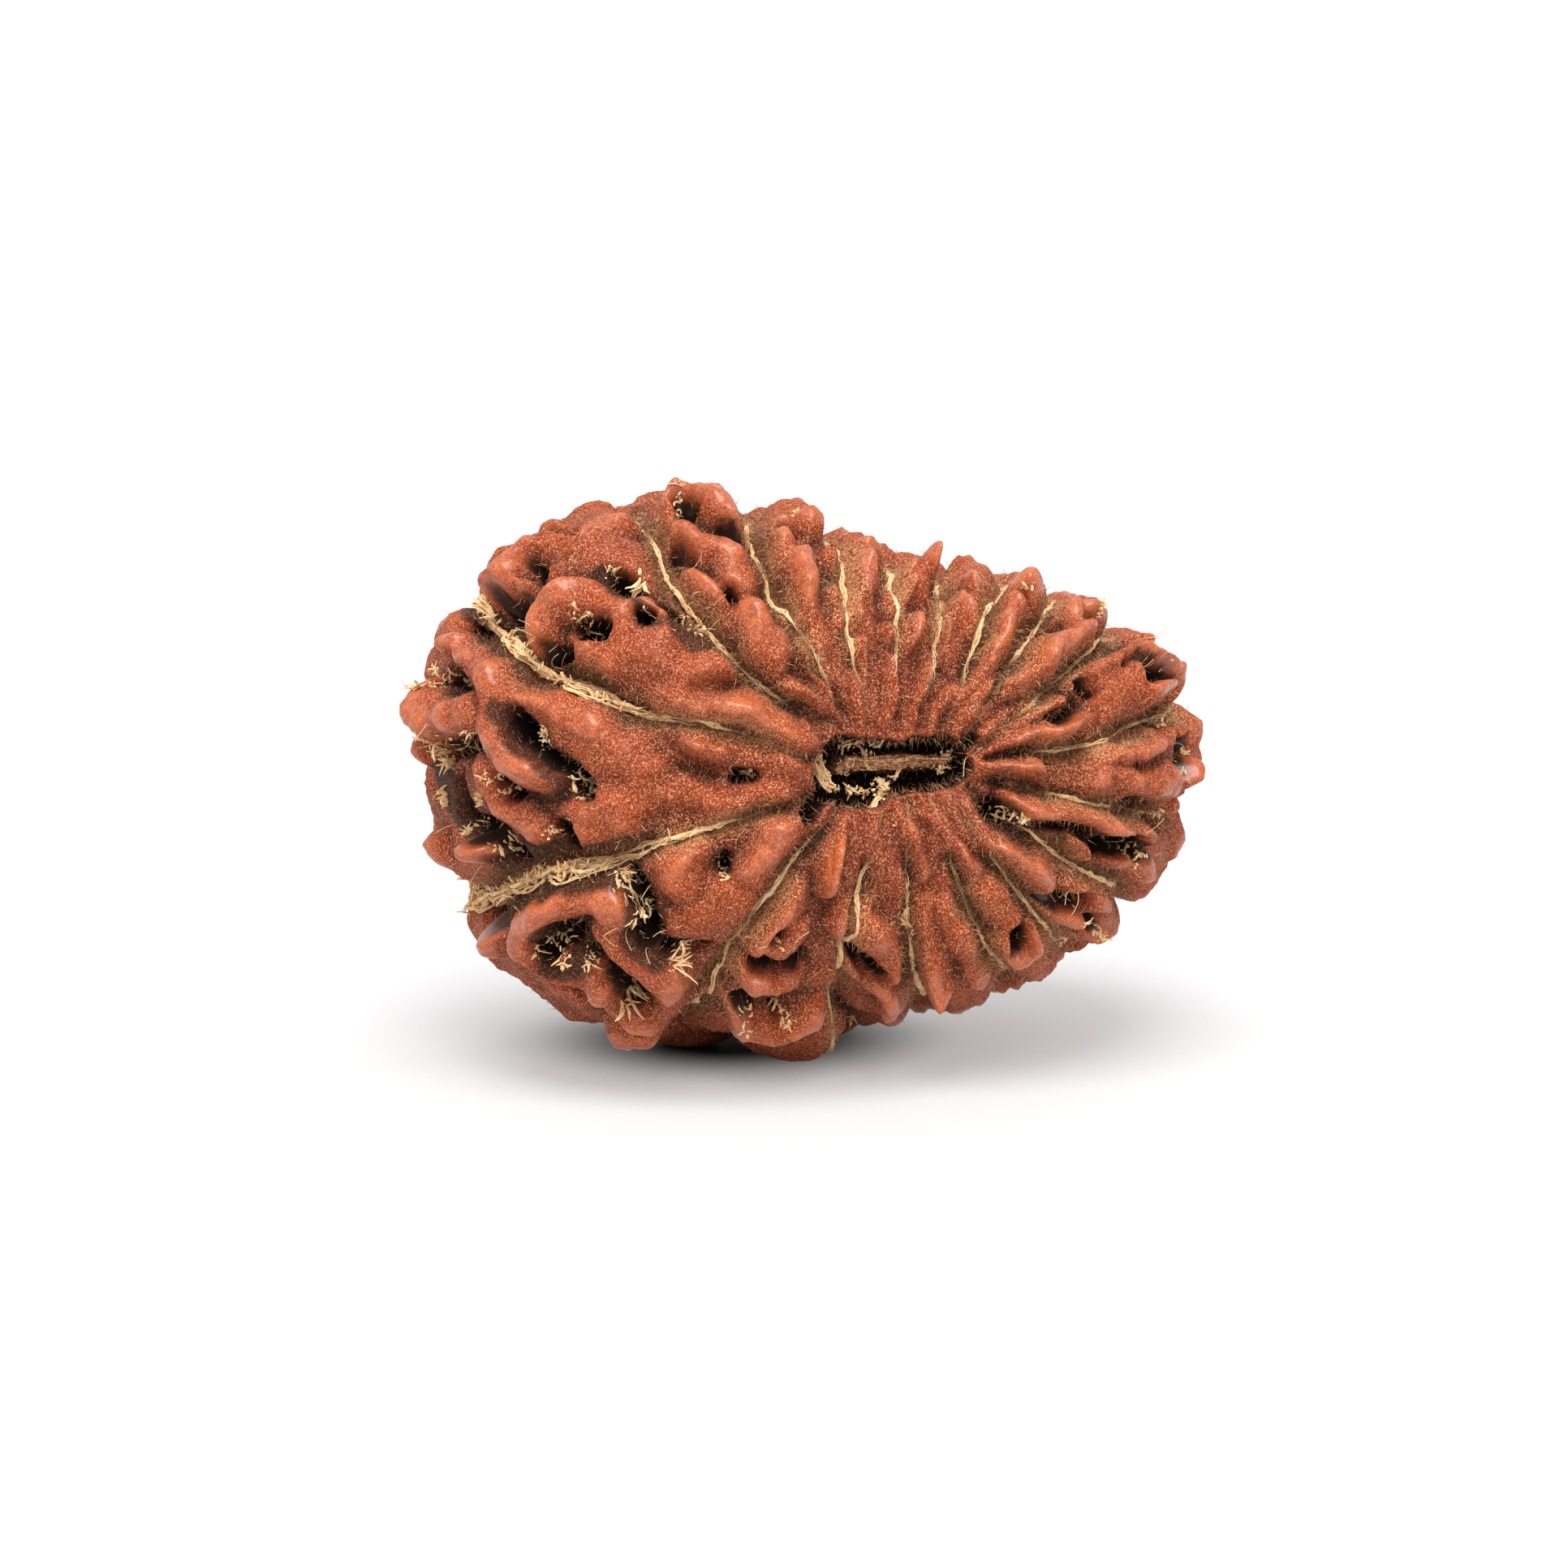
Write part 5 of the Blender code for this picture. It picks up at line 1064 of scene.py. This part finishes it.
# Each mat: half its width, how many strands and how wide they are, splinters to the millimetre,
# then its path in the front view
MATS = (
    (0.13, 9, 0.09, 12, (
        (-13.0, 6.6), (-12.3, 6.2), (-11.6, 5.2), (-10.9, 4.5), (-10.1, 3.8), (-9.3, 3.3), (-8.4, 2.95),
    )),
    (0.1, 7, 0.09, 5, ((-9.4, 3.3), (-8.4, 2.95), (-7.4, 2.5), (-6.4, 2.1), (-5.2, 1.75), (-4.2, 1.6))),
    (0.18, 13, 0.1, 18, (
        (-13.3, -4.4), (-12.4, -4.8), (-11.7, -4.9), (-10.8, -4.5), (-10.0, -4.1), (-9.0, -3.9),
        (-8.0, -3.8), (-7.3, -3.6), (-6.6, -3.4), (-6.0, -3.3),
    )),
    (0.08, 2, 0.07, 4, ((-6.3, -3.3), (-5.4, -2.9), (-4.2, -2.4), (-3.2, -2.1))),
    (0.13, 8, 0.08, 16, ((-7.0, -4.0), (-6.6, -4.9), (-6.3, -5.6))),
)
MAT_SPACING = 0.12
MAT_TAPER = 2.5
SHORTEST_STRAND = 5
SPLINTER_LENGTH = (0.25, 0.9)
SPLINTER_WIDTH = (0.05, 0.15)
LINE_POINTS = 7


def bent_lines(starts, ways, lengths, draw, bend):
    """Lines that set off each their own way and curl by chance."""
    turn = draw.normal(size=starts.shape) * bend
    line = [starts]
    for _ in range(LINE_POINTS - 1):
        ways = unit(ways + turn)
        line.append(line[-1] + ways * lengths[:, None] / (LINE_POINTS - 1))
    return list(np.stack(line, 1))


def pointed(half_widths):
    """The width along each splinter, from its torn root to its thin end."""
    along = np.linspace(0, 1, LINE_POINTS)
    return [half * (0.75 + 0.5 * np.sin(along * 3.0) - 0.55 * along**2) for half in half_widths]


draw = np.random.default_rng(5)
long_lines, long_widths, lines, widths = [], [], [], []
for half, strands, strand_width, per_mm, places in MATS:
    spine = smooth_path(seen_on_skin(places, strokes), 8)
    steps, stops = closer_steps(spine, MAT_SPACING)
    taper = np.clip((stops[-1] - stops) / MAT_TAPER, 0.15, 1.0)
    sides = unit(np.cross(form_normals(on_form(steps)), np.gradient(on_form(steps), axis=0)))
    for strand in range(strands):
        first, last = np.sort(draw.integers(0, len(steps), 2))
        if strand % 2 == 0:
            first, last = 0, len(steps) - 1
        if last - first < SHORTEST_STRAND:
            continue
        run = slice(first, last + 1)
        sway = draw.normal() * 0.55
        sway += 0.45 * np.sin(stops[run] * draw.uniform(1, 3) + draw.uniform(0, 6))
        sway *= half * taper[run]
        lift = draw.uniform(0.1, 0.45) * taper[run] * (1 + 0.5 * np.sin(stops[run] * 3 + draw.uniform(0, 6)))
        points, _ = skin_at(unit(on_form(steps[run]) + sway[:, None] * sides[run]), lift)
        long_lines.append(points)
        long_widths.append(strand_width * draw.uniform(0.5, 1.3) * taper[run])
    count = int(stops[-1] * per_mm)
    at = draw.integers(0, len(steps) - 1, count)
    along = unit(on_form(steps[np.minimum(at + 1, len(steps) - 1)]) - on_form(steps[np.maximum(at - 1, 0)]))
    aside = np.cross(form_normals(on_form(steps[at])), along)
    roots = unit(on_form(steps[at]) + aside * (draw.normal(size=count) * half * 0.6)[:, None])
    starts, outs = skin_at(roots, draw.uniform(0.1, 0.5, count) * taper[at])
    swing = draw.normal(size=count) * 0.6
    ways = (along * np.cos(swing)[:, None] + aside * np.sin(swing)[:, None]) @ bead_axes() + outs * 0.15
    lengths = draw.uniform(*SPLINTER_LENGTH, count) * (0.6 + 0.4 * taper[at])
    lines += bent_lines(starts - unit(ways) * lengths[:, None] * 0.5, unit(ways), lengths, draw, 0.12)
    widths += pointed(draw.uniform(*SPLINTER_WIDTH, count) * taper[at])
values = {"Copies": 3, "Spread": 0.1 * MM, "Waves": 1500.0, "Flatness": 0.45}
lay_fibre("mat_strands", long_lines, long_widths, values)
values = {"Copies": 2, "Spread": 0.06 * MM, "Waves": 2500.0, "Flatness": 0.35}
lay_fibre("mat_splinters", lines, widths, values)


# The tufts of dried flesh left in the pits and hollows: bunches of torn splinters, rooted in the
# floor of the pit and leaning out of it. Each row gives where the front view shows the bunch, how
# wide it is, how many splinters it has and how long they are, and which way they lean and fan.

TUFTS = (
    (-8.35, 5.3, 0.22, 10, 0.64, 70, 50), (-7.9, 5.25, 0.22, 10, 0.56, 60, 50),
    (-8.6, 5.4, 0.1, 4, 0.28, 120, 60), (-13.9, 3.3, 0.45, 18, 0.68, 180, 40),
    (-14.1, 3.7, 0.2, 9, 0.48, 140, 30), (-13.2, 3.1, 0.2, 7, 0.32, 240, 60),
    (-13.3, 0.8, 0.4, 13, 0.88, 185, 20), (-13.3, 0.4, 0.35, 12, 0.88, 200, 15),
    (-12.6, 1.0, 0.2, 10, 0.32, 90, 120), (-12.9, 1.4, 0.15, 6, 0.48, 120, 30),
    (-11.6, -0.45, 0.25, 10, 0.48, 160, 40), (-11.3, -0.8, 0.2, 9, 0.32, 270, 60),
    (-13.8, -1.2, 0.3, 15, 0.48, 215, 60), (-12.5, -1.2, 0.22, 13, 0.36, 200, 120),
    (-12.4, -2.2, 0.3, 15, 0.52, 200, 60), (-11.4, -3.1, 0.25, 16, 0.48, 150, 70),
    (-9.5, -2.4, 0.2, 6, 0.32, 200, 60), (-8.5, -0.3, 0.25, 12, 0.56, 290, 25),
    (-8.2, -1.05, 0.2, 13, 0.32, 250, 90), (-10.0, 1.3, 0.3, 13, 0.36, 200, 80),
    (-9.8, 0.8, 0.2, 9, 0.28, 270, 80), (-7.5, 7.3, 0.12, 6, 0.72, 78, 12),
    (-6.3, 7.1, 0.15, 7, 0.72, 250, 25), (-5.9, 5.6, 0.12, 6, 0.28, 200, 80),
    (-4.7, 5.6, 0.2, 10, 0.4, 300, 60), (-4.2, 5.2, 0.2, 9, 0.36, 310, 50),
    (-4.75, 10.15, 0.15, 7, 0.44, 120, 40), (-0.45, 9.65, 0.16, 10, 0.64, 305, 18),
    (8.3, 6.8, 0.12, 7, 0.24, 90, 90), (11.4, 6.15, 0.2, 9, 0.28, 100, 70),
    (13.4, 3.45, 0.2, 6, 0.32, 200, 50), (13.9, 1.6, 0.15, 7, 0.28, 180, 60),
    (14.6, 0.6, 0.2, 6, 0.32, 260, 40), (14.4, -0.1, 0.2, 7, 0.32, 265, 40),
    (7.6, -1.75, 0.3, 13, 0.56, 155, 45), (8.1, -1.95, 0.2, 7, 0.4, 330, 50),
    (11.9, -3.05, 0.35, 16, 0.52, 170, 60), (12.6, -3.2, 0.2, 9, 0.36, 200, 60),
    (13.0, -1.7, 0.2, 7, 0.32, 200, 60), (11.1, -6.1, 0.2, 12, 0.44, 250, 50),
    (10.4, -5.5, 0.2, 7, 0.4, 330, 30), (4.1, -6.2, 0.06, 13, 1.44, 131, 6),
    (-2.2, -0.25, 0.2, 12, 0.32, 190, 90), (-3.1, -3.8, 0.25, 12, 0.32, 250, 80),
    (-1.1, -6.75, 0.1, 4, 0.56, 345, 15), (-2.3, -9.5, 0.2, 9, 0.36, 80, 60),
    (-0.8, -9.5, 0.25, 12, 0.64, 262, 25), (-5.1, -7.45, 0.14, 12, 1.04, 27, 12),
    (-9.5, -6.5, 0.3, 13, 0.48, 10, 60), (-9.1, -6.9, 0.3, 15, 0.48, 250, 60),
    (-8.3, -7.25, 0.14, 7, 0.56, 330, 20), (-6.7, -8.45, 0.2, 21, 0.96, 314, 12),
    (1.9, -9.6, 0.1, 6, 0.56, 200, 20), (-6.3, -5.5, 0.2, 12, 0.48, 250, 40),
    (-7.0, -4.1, 0.2, 9, 0.48, 300, 40), (3.4, -2.25, 0.02, 3, 0.16, 90, 90),
)
TUFT_WIDTH = (0.05, 0.13)
CHIP_WIDTH = (0.06, 0.16)
across_view, up_view, back_view = view_axes()


def headed(angles):
    """Ways across the front view, for angles in degrees from its right, anticlockwise."""
    angles = np.radians(angles)
    return np.cos(angles)[:, None] * across_view + np.sin(angles)[:, None] * up_view


# A small blob is set at each point, turned and stretched flat by chance
chip_tree, given = new_growth("chips", {"Seed": "Int"})
tree = chip_tree
dots = add_node(tree, "GeometryNodeMeshToPoints", None, {"Mesh": given.out("Geometry")})
chip = add_node(tree, "GeometryNodeMeshIcoSphere", None, {"Radius": 0.5, "Subdivisions": 1})
whim = {"data_type": "FLOAT_VECTOR"}
ends = {"Min": (-3.0, -3.0, -3.0), "Max": (3.0, 3.0, 3.0), "Seed": given.out("Seed")}
turn = add_node(tree, "FunctionNodeRandomValue", whim, ends)
ends = {"Min": (0.8, 0.4, 0.15), "Max": (2.2, 1.2, 0.6), "Seed": given.out("Seed") + 1}
stretch = scaled(add_node(tree, "FunctionNodeRandomValue", whim, ends), stored(tree, "width"))
chips = {"Points": dots, "Instance": chip, "Rotation": turn, "Scale": stretch}
end_growth(add_node(tree, "GeometryNodeInstanceOnPoints", None, chips), given)


def scatter_chips(name, points, widths, material, seed):
    """Small flat chips at points in millimetres."""
    mesh = bpy.data.meshes.new(name)
    mesh.from_pydata((points * MM).tolist(), [], [])
    store(mesh, "width", widths * MM)
    grow_piece(name, mesh, chip_tree, {"Seed": seed, "Material": material})


draw = np.random.default_rng(8)
starts, ways, lengths = [], [], []
spots = seen_on_skin([row[:2] for row in TUFTS], strokes)
for spot, (_, _, size, count, length, lean, fan) in zip(spots, TUFTS):
    far, turn = size * np.sqrt(draw.uniform(size=count)), draw.uniform(0, 2 * math.pi, count)
    aside = np.cos(turn)[:, None] * across_view + np.sin(turn)[:, None] * up_view
    starts.append(unit(on_form(spot[None, :]) + far[:, None] * aside @ bead_axes().T))
    ways.append(headed(lean + draw.normal(size=count) * fan))
    lengths.append(length * draw.uniform(0.5, 1.2, count))
starts, outs = skin_at(np.vstack(starts), -0.06)
ways, lengths = np.vstack(ways), np.concatenate(lengths)
ways = unit(ways + outs * draw.uniform(0.15, 0.9, len(outs))[:, None])
lines = bent_lines(starts, ways, lengths, draw, 0.16)
widths = pointed(draw.uniform(*TUFT_WIDTH, len(lines)))
crumbs = starts + outs * draw.uniform(0.0, 0.35, len(outs))[:, None] + draw.normal(size=starts.shape) * 0.1
crumbs = np.vstack((crumbs, np.vstack([line[3] for line in lines])))
scatter_chips("tuft_chips", crumbs, draw.uniform(*CHIP_WIDTH, len(crumbs)), fibre_finish, 1)
values = {"Copies": 2, "Spread": 0.05 * MM, "Waves": 2600.0, "Flatness": 0.35, "Seed": 3.0}
lay_fibre("tufts", lines, widths, values)


# The dried pith in the slot: a woody bar that runs along its floor, a curled strip at its left
# end, and flakes and torn splinters along its lower rim.

PITH_BAR = ((1.3, 0.1), (2.6, 0.14), (4.0, 0.2), (5.5, 0.22))
PITH_STRIP = ((0.42, 0.6), (0.45, 0.2), (0.6, -0.3), (0.85, -0.75), (1.25, -0.95))

# Torn bits: where the front view shows them, how far above the form, how many splinters, how long,
# and which way they lean and fan
PITH_BITS = (
    (1.4, 0.75, -0.6, 3, 0.5, 20, 40), (1.9, 0.9, -0.5, 2, 0.6, 350, 25),
    (2.2, 0.5, -0.6, 4, 0.6, 280, 20), (2.7, 0.85, -0.3, 3, 1.1, 355, 5),
    (1.5, -0.05, -0.8, 6, 0.5, 200, 50), (1.7, -0.9, -0.2, 4, 0.5, 330, 60),
    (2.2, -1.0, -0.1, 4, 0.4, 30, 60), (2.9, -0.75, -0.1, 10, 0.4, 100, 120),
    (2.85, -1.1, 0.3, 3, 1.2, 240, 4), (3.3, -0.5, -0.4, 2, 0.5, 40, 30),
    (5.4, 0.45, -0.6, 3, 0.3, 70, 40), (6.1, 0.4, -0.3, 3, 0.25, 20, 60),
    (5.2, -0.1, -0.6, 4, 0.3, 280, 60),
)
BAR_LEVEL = -0.6
BAR_STRANDS = 14
BAR_CHIPS = 900
BAR_CHIP_WIDTH = (0.04, 0.1)
STRIP_LEVEL = -0.25
STRIP_STRANDS = 8
STRIP_CHIPS = 90

pith_finish = new_material("dried pith")
tree = pith_finish.node_tree
spot = in_millimetres(tree)
patch = noise(spot, 9.0, 3.0, 0.7)
pith = mixed(patch.between(0.38, 0.6), from_screen(176, 96, 62, 0.95), from_screen(255, 206, 156, 0.95))
bump = add_node(tree, "ShaderNodeBump", None, {"Strength": 0.8, "Distance": 0.04 * MM, "Height": patch})
finish_material(tree, {"Base Color": pith, "Roughness": 0.85, "Normal": bump, "Specular IOR Level": 0.2})


def along_view(places, level):
    """Points that the front view shows at each place, this far above the form."""
    spots = np.array([seen_at(x, y, level) for x, y in places])
    form = on_form(spots)
    return in_row_frame(form + level * form_normals(form))


def through(points, count):
    """Evenly spread points on the line through a few points."""
    turns = np.linspace(0, len(points) - 1, count)
    return np.stack([np.interp(turns, range(len(points)), points[:, axis]) for axis in range(3)], 1)


def bundle(places, level, count, strands, spread, width, draw):
    """Long strands side by side along a line of the front view, ragged where each one ends."""
    spine = through(along_view(places, level), count)
    rows, row_widths = [], []
    for shift in draw.normal(size=(strands, 3)) * spread:
        first, last = draw.integers(0, count // 3), draw.integers(count * 2 // 3, count)
        row = spine[first:last] + shift
        rows.append(row)
        row_widths.append(width * draw.uniform(0.5, 1.4) * (0.8 + 0.4 * ripple(row + 20 * shift, 0.8, 5)))
    return rows, row_widths


draw = np.random.default_rng(13)
lines, widths = bundle(PITH_BAR, BAR_LEVEL, 48, BAR_STRANDS, (0.13, 0.06, 0.13), 0.06, draw)
values = {"Copies": 2, "Spread": 0.06 * MM, "Waves": 3500.0, "Flatness": 0.7, "Material": pith_finish}
lay_fibre("slot_bar", lines, widths, values)
spine = through(along_view(PITH_BAR, BAR_LEVEL), BAR_CHIPS)
crumbs = spine + draw.normal(size=spine.shape) * (0.1, 0.08, 0.1)
scatter_chips("bar_chips", crumbs, draw.uniform(*BAR_CHIP_WIDTH, len(crumbs)), pith_finish, 2)
lines, widths = bundle(PITH_STRIP, STRIP_LEVEL, 24, STRIP_STRANDS, (0.12, 0.08, 0.06), 0.13, draw)
spine = through(along_view(PITH_STRIP, STRIP_LEVEL), STRIP_CHIPS)
crumbs = [spine + draw.normal(size=spine.shape) * (0.12, 0.06, 0.08)]
for x, y, level, count, length, lean, fan in PITH_BITS:
    root = along_view([(x, y)], level)
    ways = headed(lean + draw.normal(size=count) * fan) + 0.3 * back_view
    starts = root + draw.normal(size=(count, 3)) * 0.1
    lines += bent_lines(starts, unit(ways), length * draw.uniform(0.5, 1.2, count), draw, 0.14)
    widths += pointed(draw.uniform(0.8, 1.6) * draw.uniform(*TUFT_WIDTH, count))
    crumbs.append(root + draw.normal(size=(count * 3, 3)) * (0.18, 0.08, 0.1))
crumbs = np.vstack(crumbs)
scatter_chips("pith_chips", crumbs, draw.uniform(*CHIP_WIDTH, len(crumbs)), fibre_finish, 3)
values = {"Copies": 2, "Spread": 0.07 * MM, "Waves": 3000.0, "Flatness": 0.3, "Seed": 9.0}
lay_fibre("slot_pith", lines, widths, values)


# Loose hairs: single fine threads of the dried flesh, still rooted in the seams and pits, that stand
# up from the skin, curl by chance and catch the light.

HAIR_WIDTH = 0.018
HAIR_LENGTH = (0.4, 1.2)
# Where the front view shows them, how far they are spread, and how many there are
HAIRS = (
    (-9.8, 4.2, 0.5, 14), (-6.2, -3.3, 0.5, 10), (-6.2, -5.6, 0.4, 8), (11.5, 4.8, 0.5, 8),
    (10.6, -4.5, 0.5, 8), (12.9, 4.9, 0.4, 5), (14.5, 0.3, 0.4, 4), (12.2, -3.2, 0.5, 8),
    (-13.2, 0.6, 0.6, 8), (-12.4, -2.0, 0.6, 8), (2.9, -1.0, 0.3, 6), (-5.4, -6.0, 0.4, 8),
    (-10.6, -4.6, 0.8, 10), (-1.0, -6.8, 0.2, 4), (6.2, 0.2, 0.3, 6), (-4.4, 5.4, 0.5, 8),
    (-11.5, 5.2, 0.5, 10),
)

draw = np.random.default_rng(21)
starts, ways = [], []
for spot, (_, _, size, count) in zip(seen_on_skin([row[:2] for row in HAIRS], strokes), HAIRS):
    aside = draw.normal(size=(count, 3)) * size
    starts.append(unit(on_form(spot[None, :]) + aside))
    ways.append(draw.normal(size=(count, 3)))
starts, outs = skin_at(np.vstack(starts), -0.05)
ways = unit(np.vstack(ways) + outs * 1.2)
lines = bent_lines(starts, ways, draw.uniform(*HAIR_LENGTH, len(starts)), draw, 0.3)
widths = [np.full(LINE_POINTS, HAIR_WIDTH)] * len(lines)
lay_fibre("loose_hairs", lines, widths, {"Flatness": 1.0})


# The fuzz of the dried flesh that never came off: short stiff bristles, thickest along the seams,
# round the slot and in the mouths of the pits, and missing where handling has polished the crests.

BRISTLE_LENGTH = 0.3
BRISTLE_WIDTH = 0.032
BRISTLES_PER_SQUARE_MM = 18.0

# Cones are sown over the skin, thicker by what the relief says of each spot, and lean by chance
fuzz_tree, given = new_growth("bristles", {
    "Density": "Float", "Length": "Float", "Width": "Float", "Seed": "Int",
})
tree = fuzz_tree
seam, sunk, slot, crest = (stored(tree, name) for name in ("seam", "sunk", "slot", "crest"))
thick = seam.between(1.1, 0.1) + sunk.between(0.0, 0.5) * sunk.between(1.7, 0.9)
thick = thick + slot.between(0.0, 0.1) * 0.7 + 0.06
thick = thick * crest.between(0.2, -0.1) * given.out("Density")
sown = {"Mesh": given.out("Geometry"), "Density": thick, "Seed": given.out("Seed")}
sown = add_node(tree, "GeometryNodeDistributePointsOnFaces", {"distribute_method": "RANDOM"}, sown)
bristle = add_node(tree, "GeometryNodeMeshCone", None, {
    "Vertices": 3, "Radius Top": 0.0, "Radius Bottom": given.out("Width") * 0.5,
    "Depth": given.out("Length"),
})
shake = {"Min": (-1.0, -1.0, -1.0), "Max": (1.0, 1.0, 1.0), "Seed": given.out("Seed")}
shake = add_node(tree, "FunctionNodeRandomValue", {"data_type": "FLOAT_VECTOR"}, shake)
lean = add_node(tree, "ShaderNodeVectorMath", {"operation": "ADD"}, {0: sown.out("Normal"), 1: shake})
lean = add_node(tree, "FunctionNodeAlignRotationToVector", {"axis": "Z"}, {"Vector": lean})
size = {"Min": 0.4, "Max": 1.3, "Seed": given.out("Seed") + 1}
size = add_node(tree, "FunctionNodeRandomValue", {"data_type": "FLOAT"}, size)
bristles = {"Points": sown, "Instance": bristle, "Rotation": lean, "Scale": size}
end_growth(add_node(tree, "GeometryNodeInstanceOnPoints", None, bristles), given)

bristle_finish = new_material("bristle")
tree = bristle_finish.node_tree
patch = noise(in_millimetres(tree), 3.0, 2.0)
dusty = mixed(patch.between(0.35, 0.65), from_screen(216, 130, 84), from_screen(255, 206, 154))
finish_material(tree, {"Base Color": dusty, "Roughness": 0.7})

grow_piece("seam_fuzz", stone.data.copy(), fuzz_tree, {
    "Density": BRISTLES_PER_SQUARE_MM / MM**2, "Length": BRISTLE_LENGTH * MM, "Width": BRISTLE_WIDTH * MM,
    "Seed": 4, "Material": bristle_finish,
})


# The room: one plain white floor, so wide that it fills the picture, one broad soft light nearly
# overhead and a smaller one in front, both a little to the left. The camera looks a little down on
# the bead. Hardly any light gets under the bead, so a shadow is painted on the floor round its foot,
# and away from the foot the floor glows white, painted light that keeps the shade pale.

FLOOR_HALF = 3000
FLOOR_GREY = (0.4, 0.4, 0.4)
WHITE = (1.0, 1.0, 1.0)
BLACK = (0.0, 0.0, 0.0)

# The middle of the painted shadow on the floor, and the distances between which it fades
FOOT = (-2.1, 2.9, 0.0)
FOOT_SHADE = (2.9, 9.4)

floor_mesh = bpy.data.meshes.new("floor")
sheet = bmesh.new()
bmesh.ops.create_grid(sheet, x_segments=1, y_segments=1, size=FLOOR_HALF * MM)
sheet.to_mesh(floor_mesh)
sheet.free()
floor = bpy.data.objects.new("floor", floor_mesh)
bpy.context.scene.collection.objects.link(floor)
floor_finish = new_material("pale floor")
tree = floor_finish.node_tree
away = {0: in_millimetres(tree), 1: FOOT}
away = add_node(tree, "ShaderNodeVectorMath", {"operation": "DISTANCE"}, away).out("Value")
# painted shadow: black at the bead's foot, fading to the floor's grey; its white glow is painted light
light = away.between(*FOOT_SHADE)
finish_material(tree, {
    "Base Color": mixed(light, BLACK, FLOOR_GREY), "Roughness": 0.7,
    "Emission Color": mixed(light, BLACK, WHITE), "Emission Strength": 0.36,
})
floor_mesh.materials.append(floor_finish)

room = bpy.context.scene.world or bpy.data.worlds.new("room")
bpy.context.scene.world = room
room.use_nodes = True
room.node_tree.nodes.clear()
sky = add_node(room.node_tree, "ShaderNodeBackground", None, {"Color": (*WHITE, 1.0), "Strength": 0.85})
add_node(room.node_tree, "ShaderNodeOutputWorld", None, {"Surface": sky})

LAMP_DISTANCE = 320


def hang_light(name, kind, azimuth, elevation, power, spread):
    """A soft lamp that faces the bead from a way given in degrees, as the camera's is. Its spread
    is in degrees for one that is far off, and in millimetres for one that is near."""
    lamp = bpy.data.lights.new(name, kind)
    lamp.energy = power
    if kind == "SUN":
        lamp.angle = math.radians(spread)
    else:
        lamp.size = spread * MM
    holder = bpy.data.objects.new(name, lamp)
    bpy.context.scene.collection.objects.link(holder)
    middle = Vector((0, 0, REST_HEIGHT * MM))
    turn, lift = math.radians(azimuth), math.radians(elevation)
    away = Vector((math.sin(turn) * math.cos(lift), -math.cos(turn) * math.cos(lift), math.sin(lift)))
    aim = away.to_track_quat("Z", "Y").to_matrix().to_4x4()
    holder.matrix_world = Matrix.Translation(middle + away * LAMP_DISTANCE * MM) @ aim


hang_light("ceiling light", "SUN", -22, 70, 2.6, 36)
hang_light("front light", "AREA", -16, 44, 0.3, 105)

# The camera's picture, in pixels, and where the bead's middle is in it
PIXELS_PER_MM = 32
PHOTO_SIZE = 1932
BEAD_AT = (992, 945)
right, up, back = (Vector(axis) for axis in view_axes())
off_x = (PHOTO_SIZE / 2 - BEAD_AT[0]) / PIXELS_PER_MM
off_y = (BEAD_AT[1] - PHOTO_SIZE / 2) / PIXELS_PER_MM
target = Vector((0, 0, REST_HEIGHT)) + right * off_x + up * off_y
camera_data = bpy.data.cameras.new("camera")
camera_data.sensor_width = 36.0
camera_data.lens = camera_data.sensor_width * VIEW_DISTANCE / (PHOTO_SIZE / PIXELS_PER_MM)
camera_data.clip_start = 0.01
camera = bpy.data.objects.new("camera", camera_data)
bpy.context.scene.collection.objects.link(camera)
turned = Matrix((right, up, back)).transposed().to_4x4()
camera.matrix_world = Matrix.Translation((target + back * VIEW_DISTANCE) * MM) @ turned
bpy.context.scene.camera = camera
bpy.context.scene.view_settings.view_transform = "Standard"
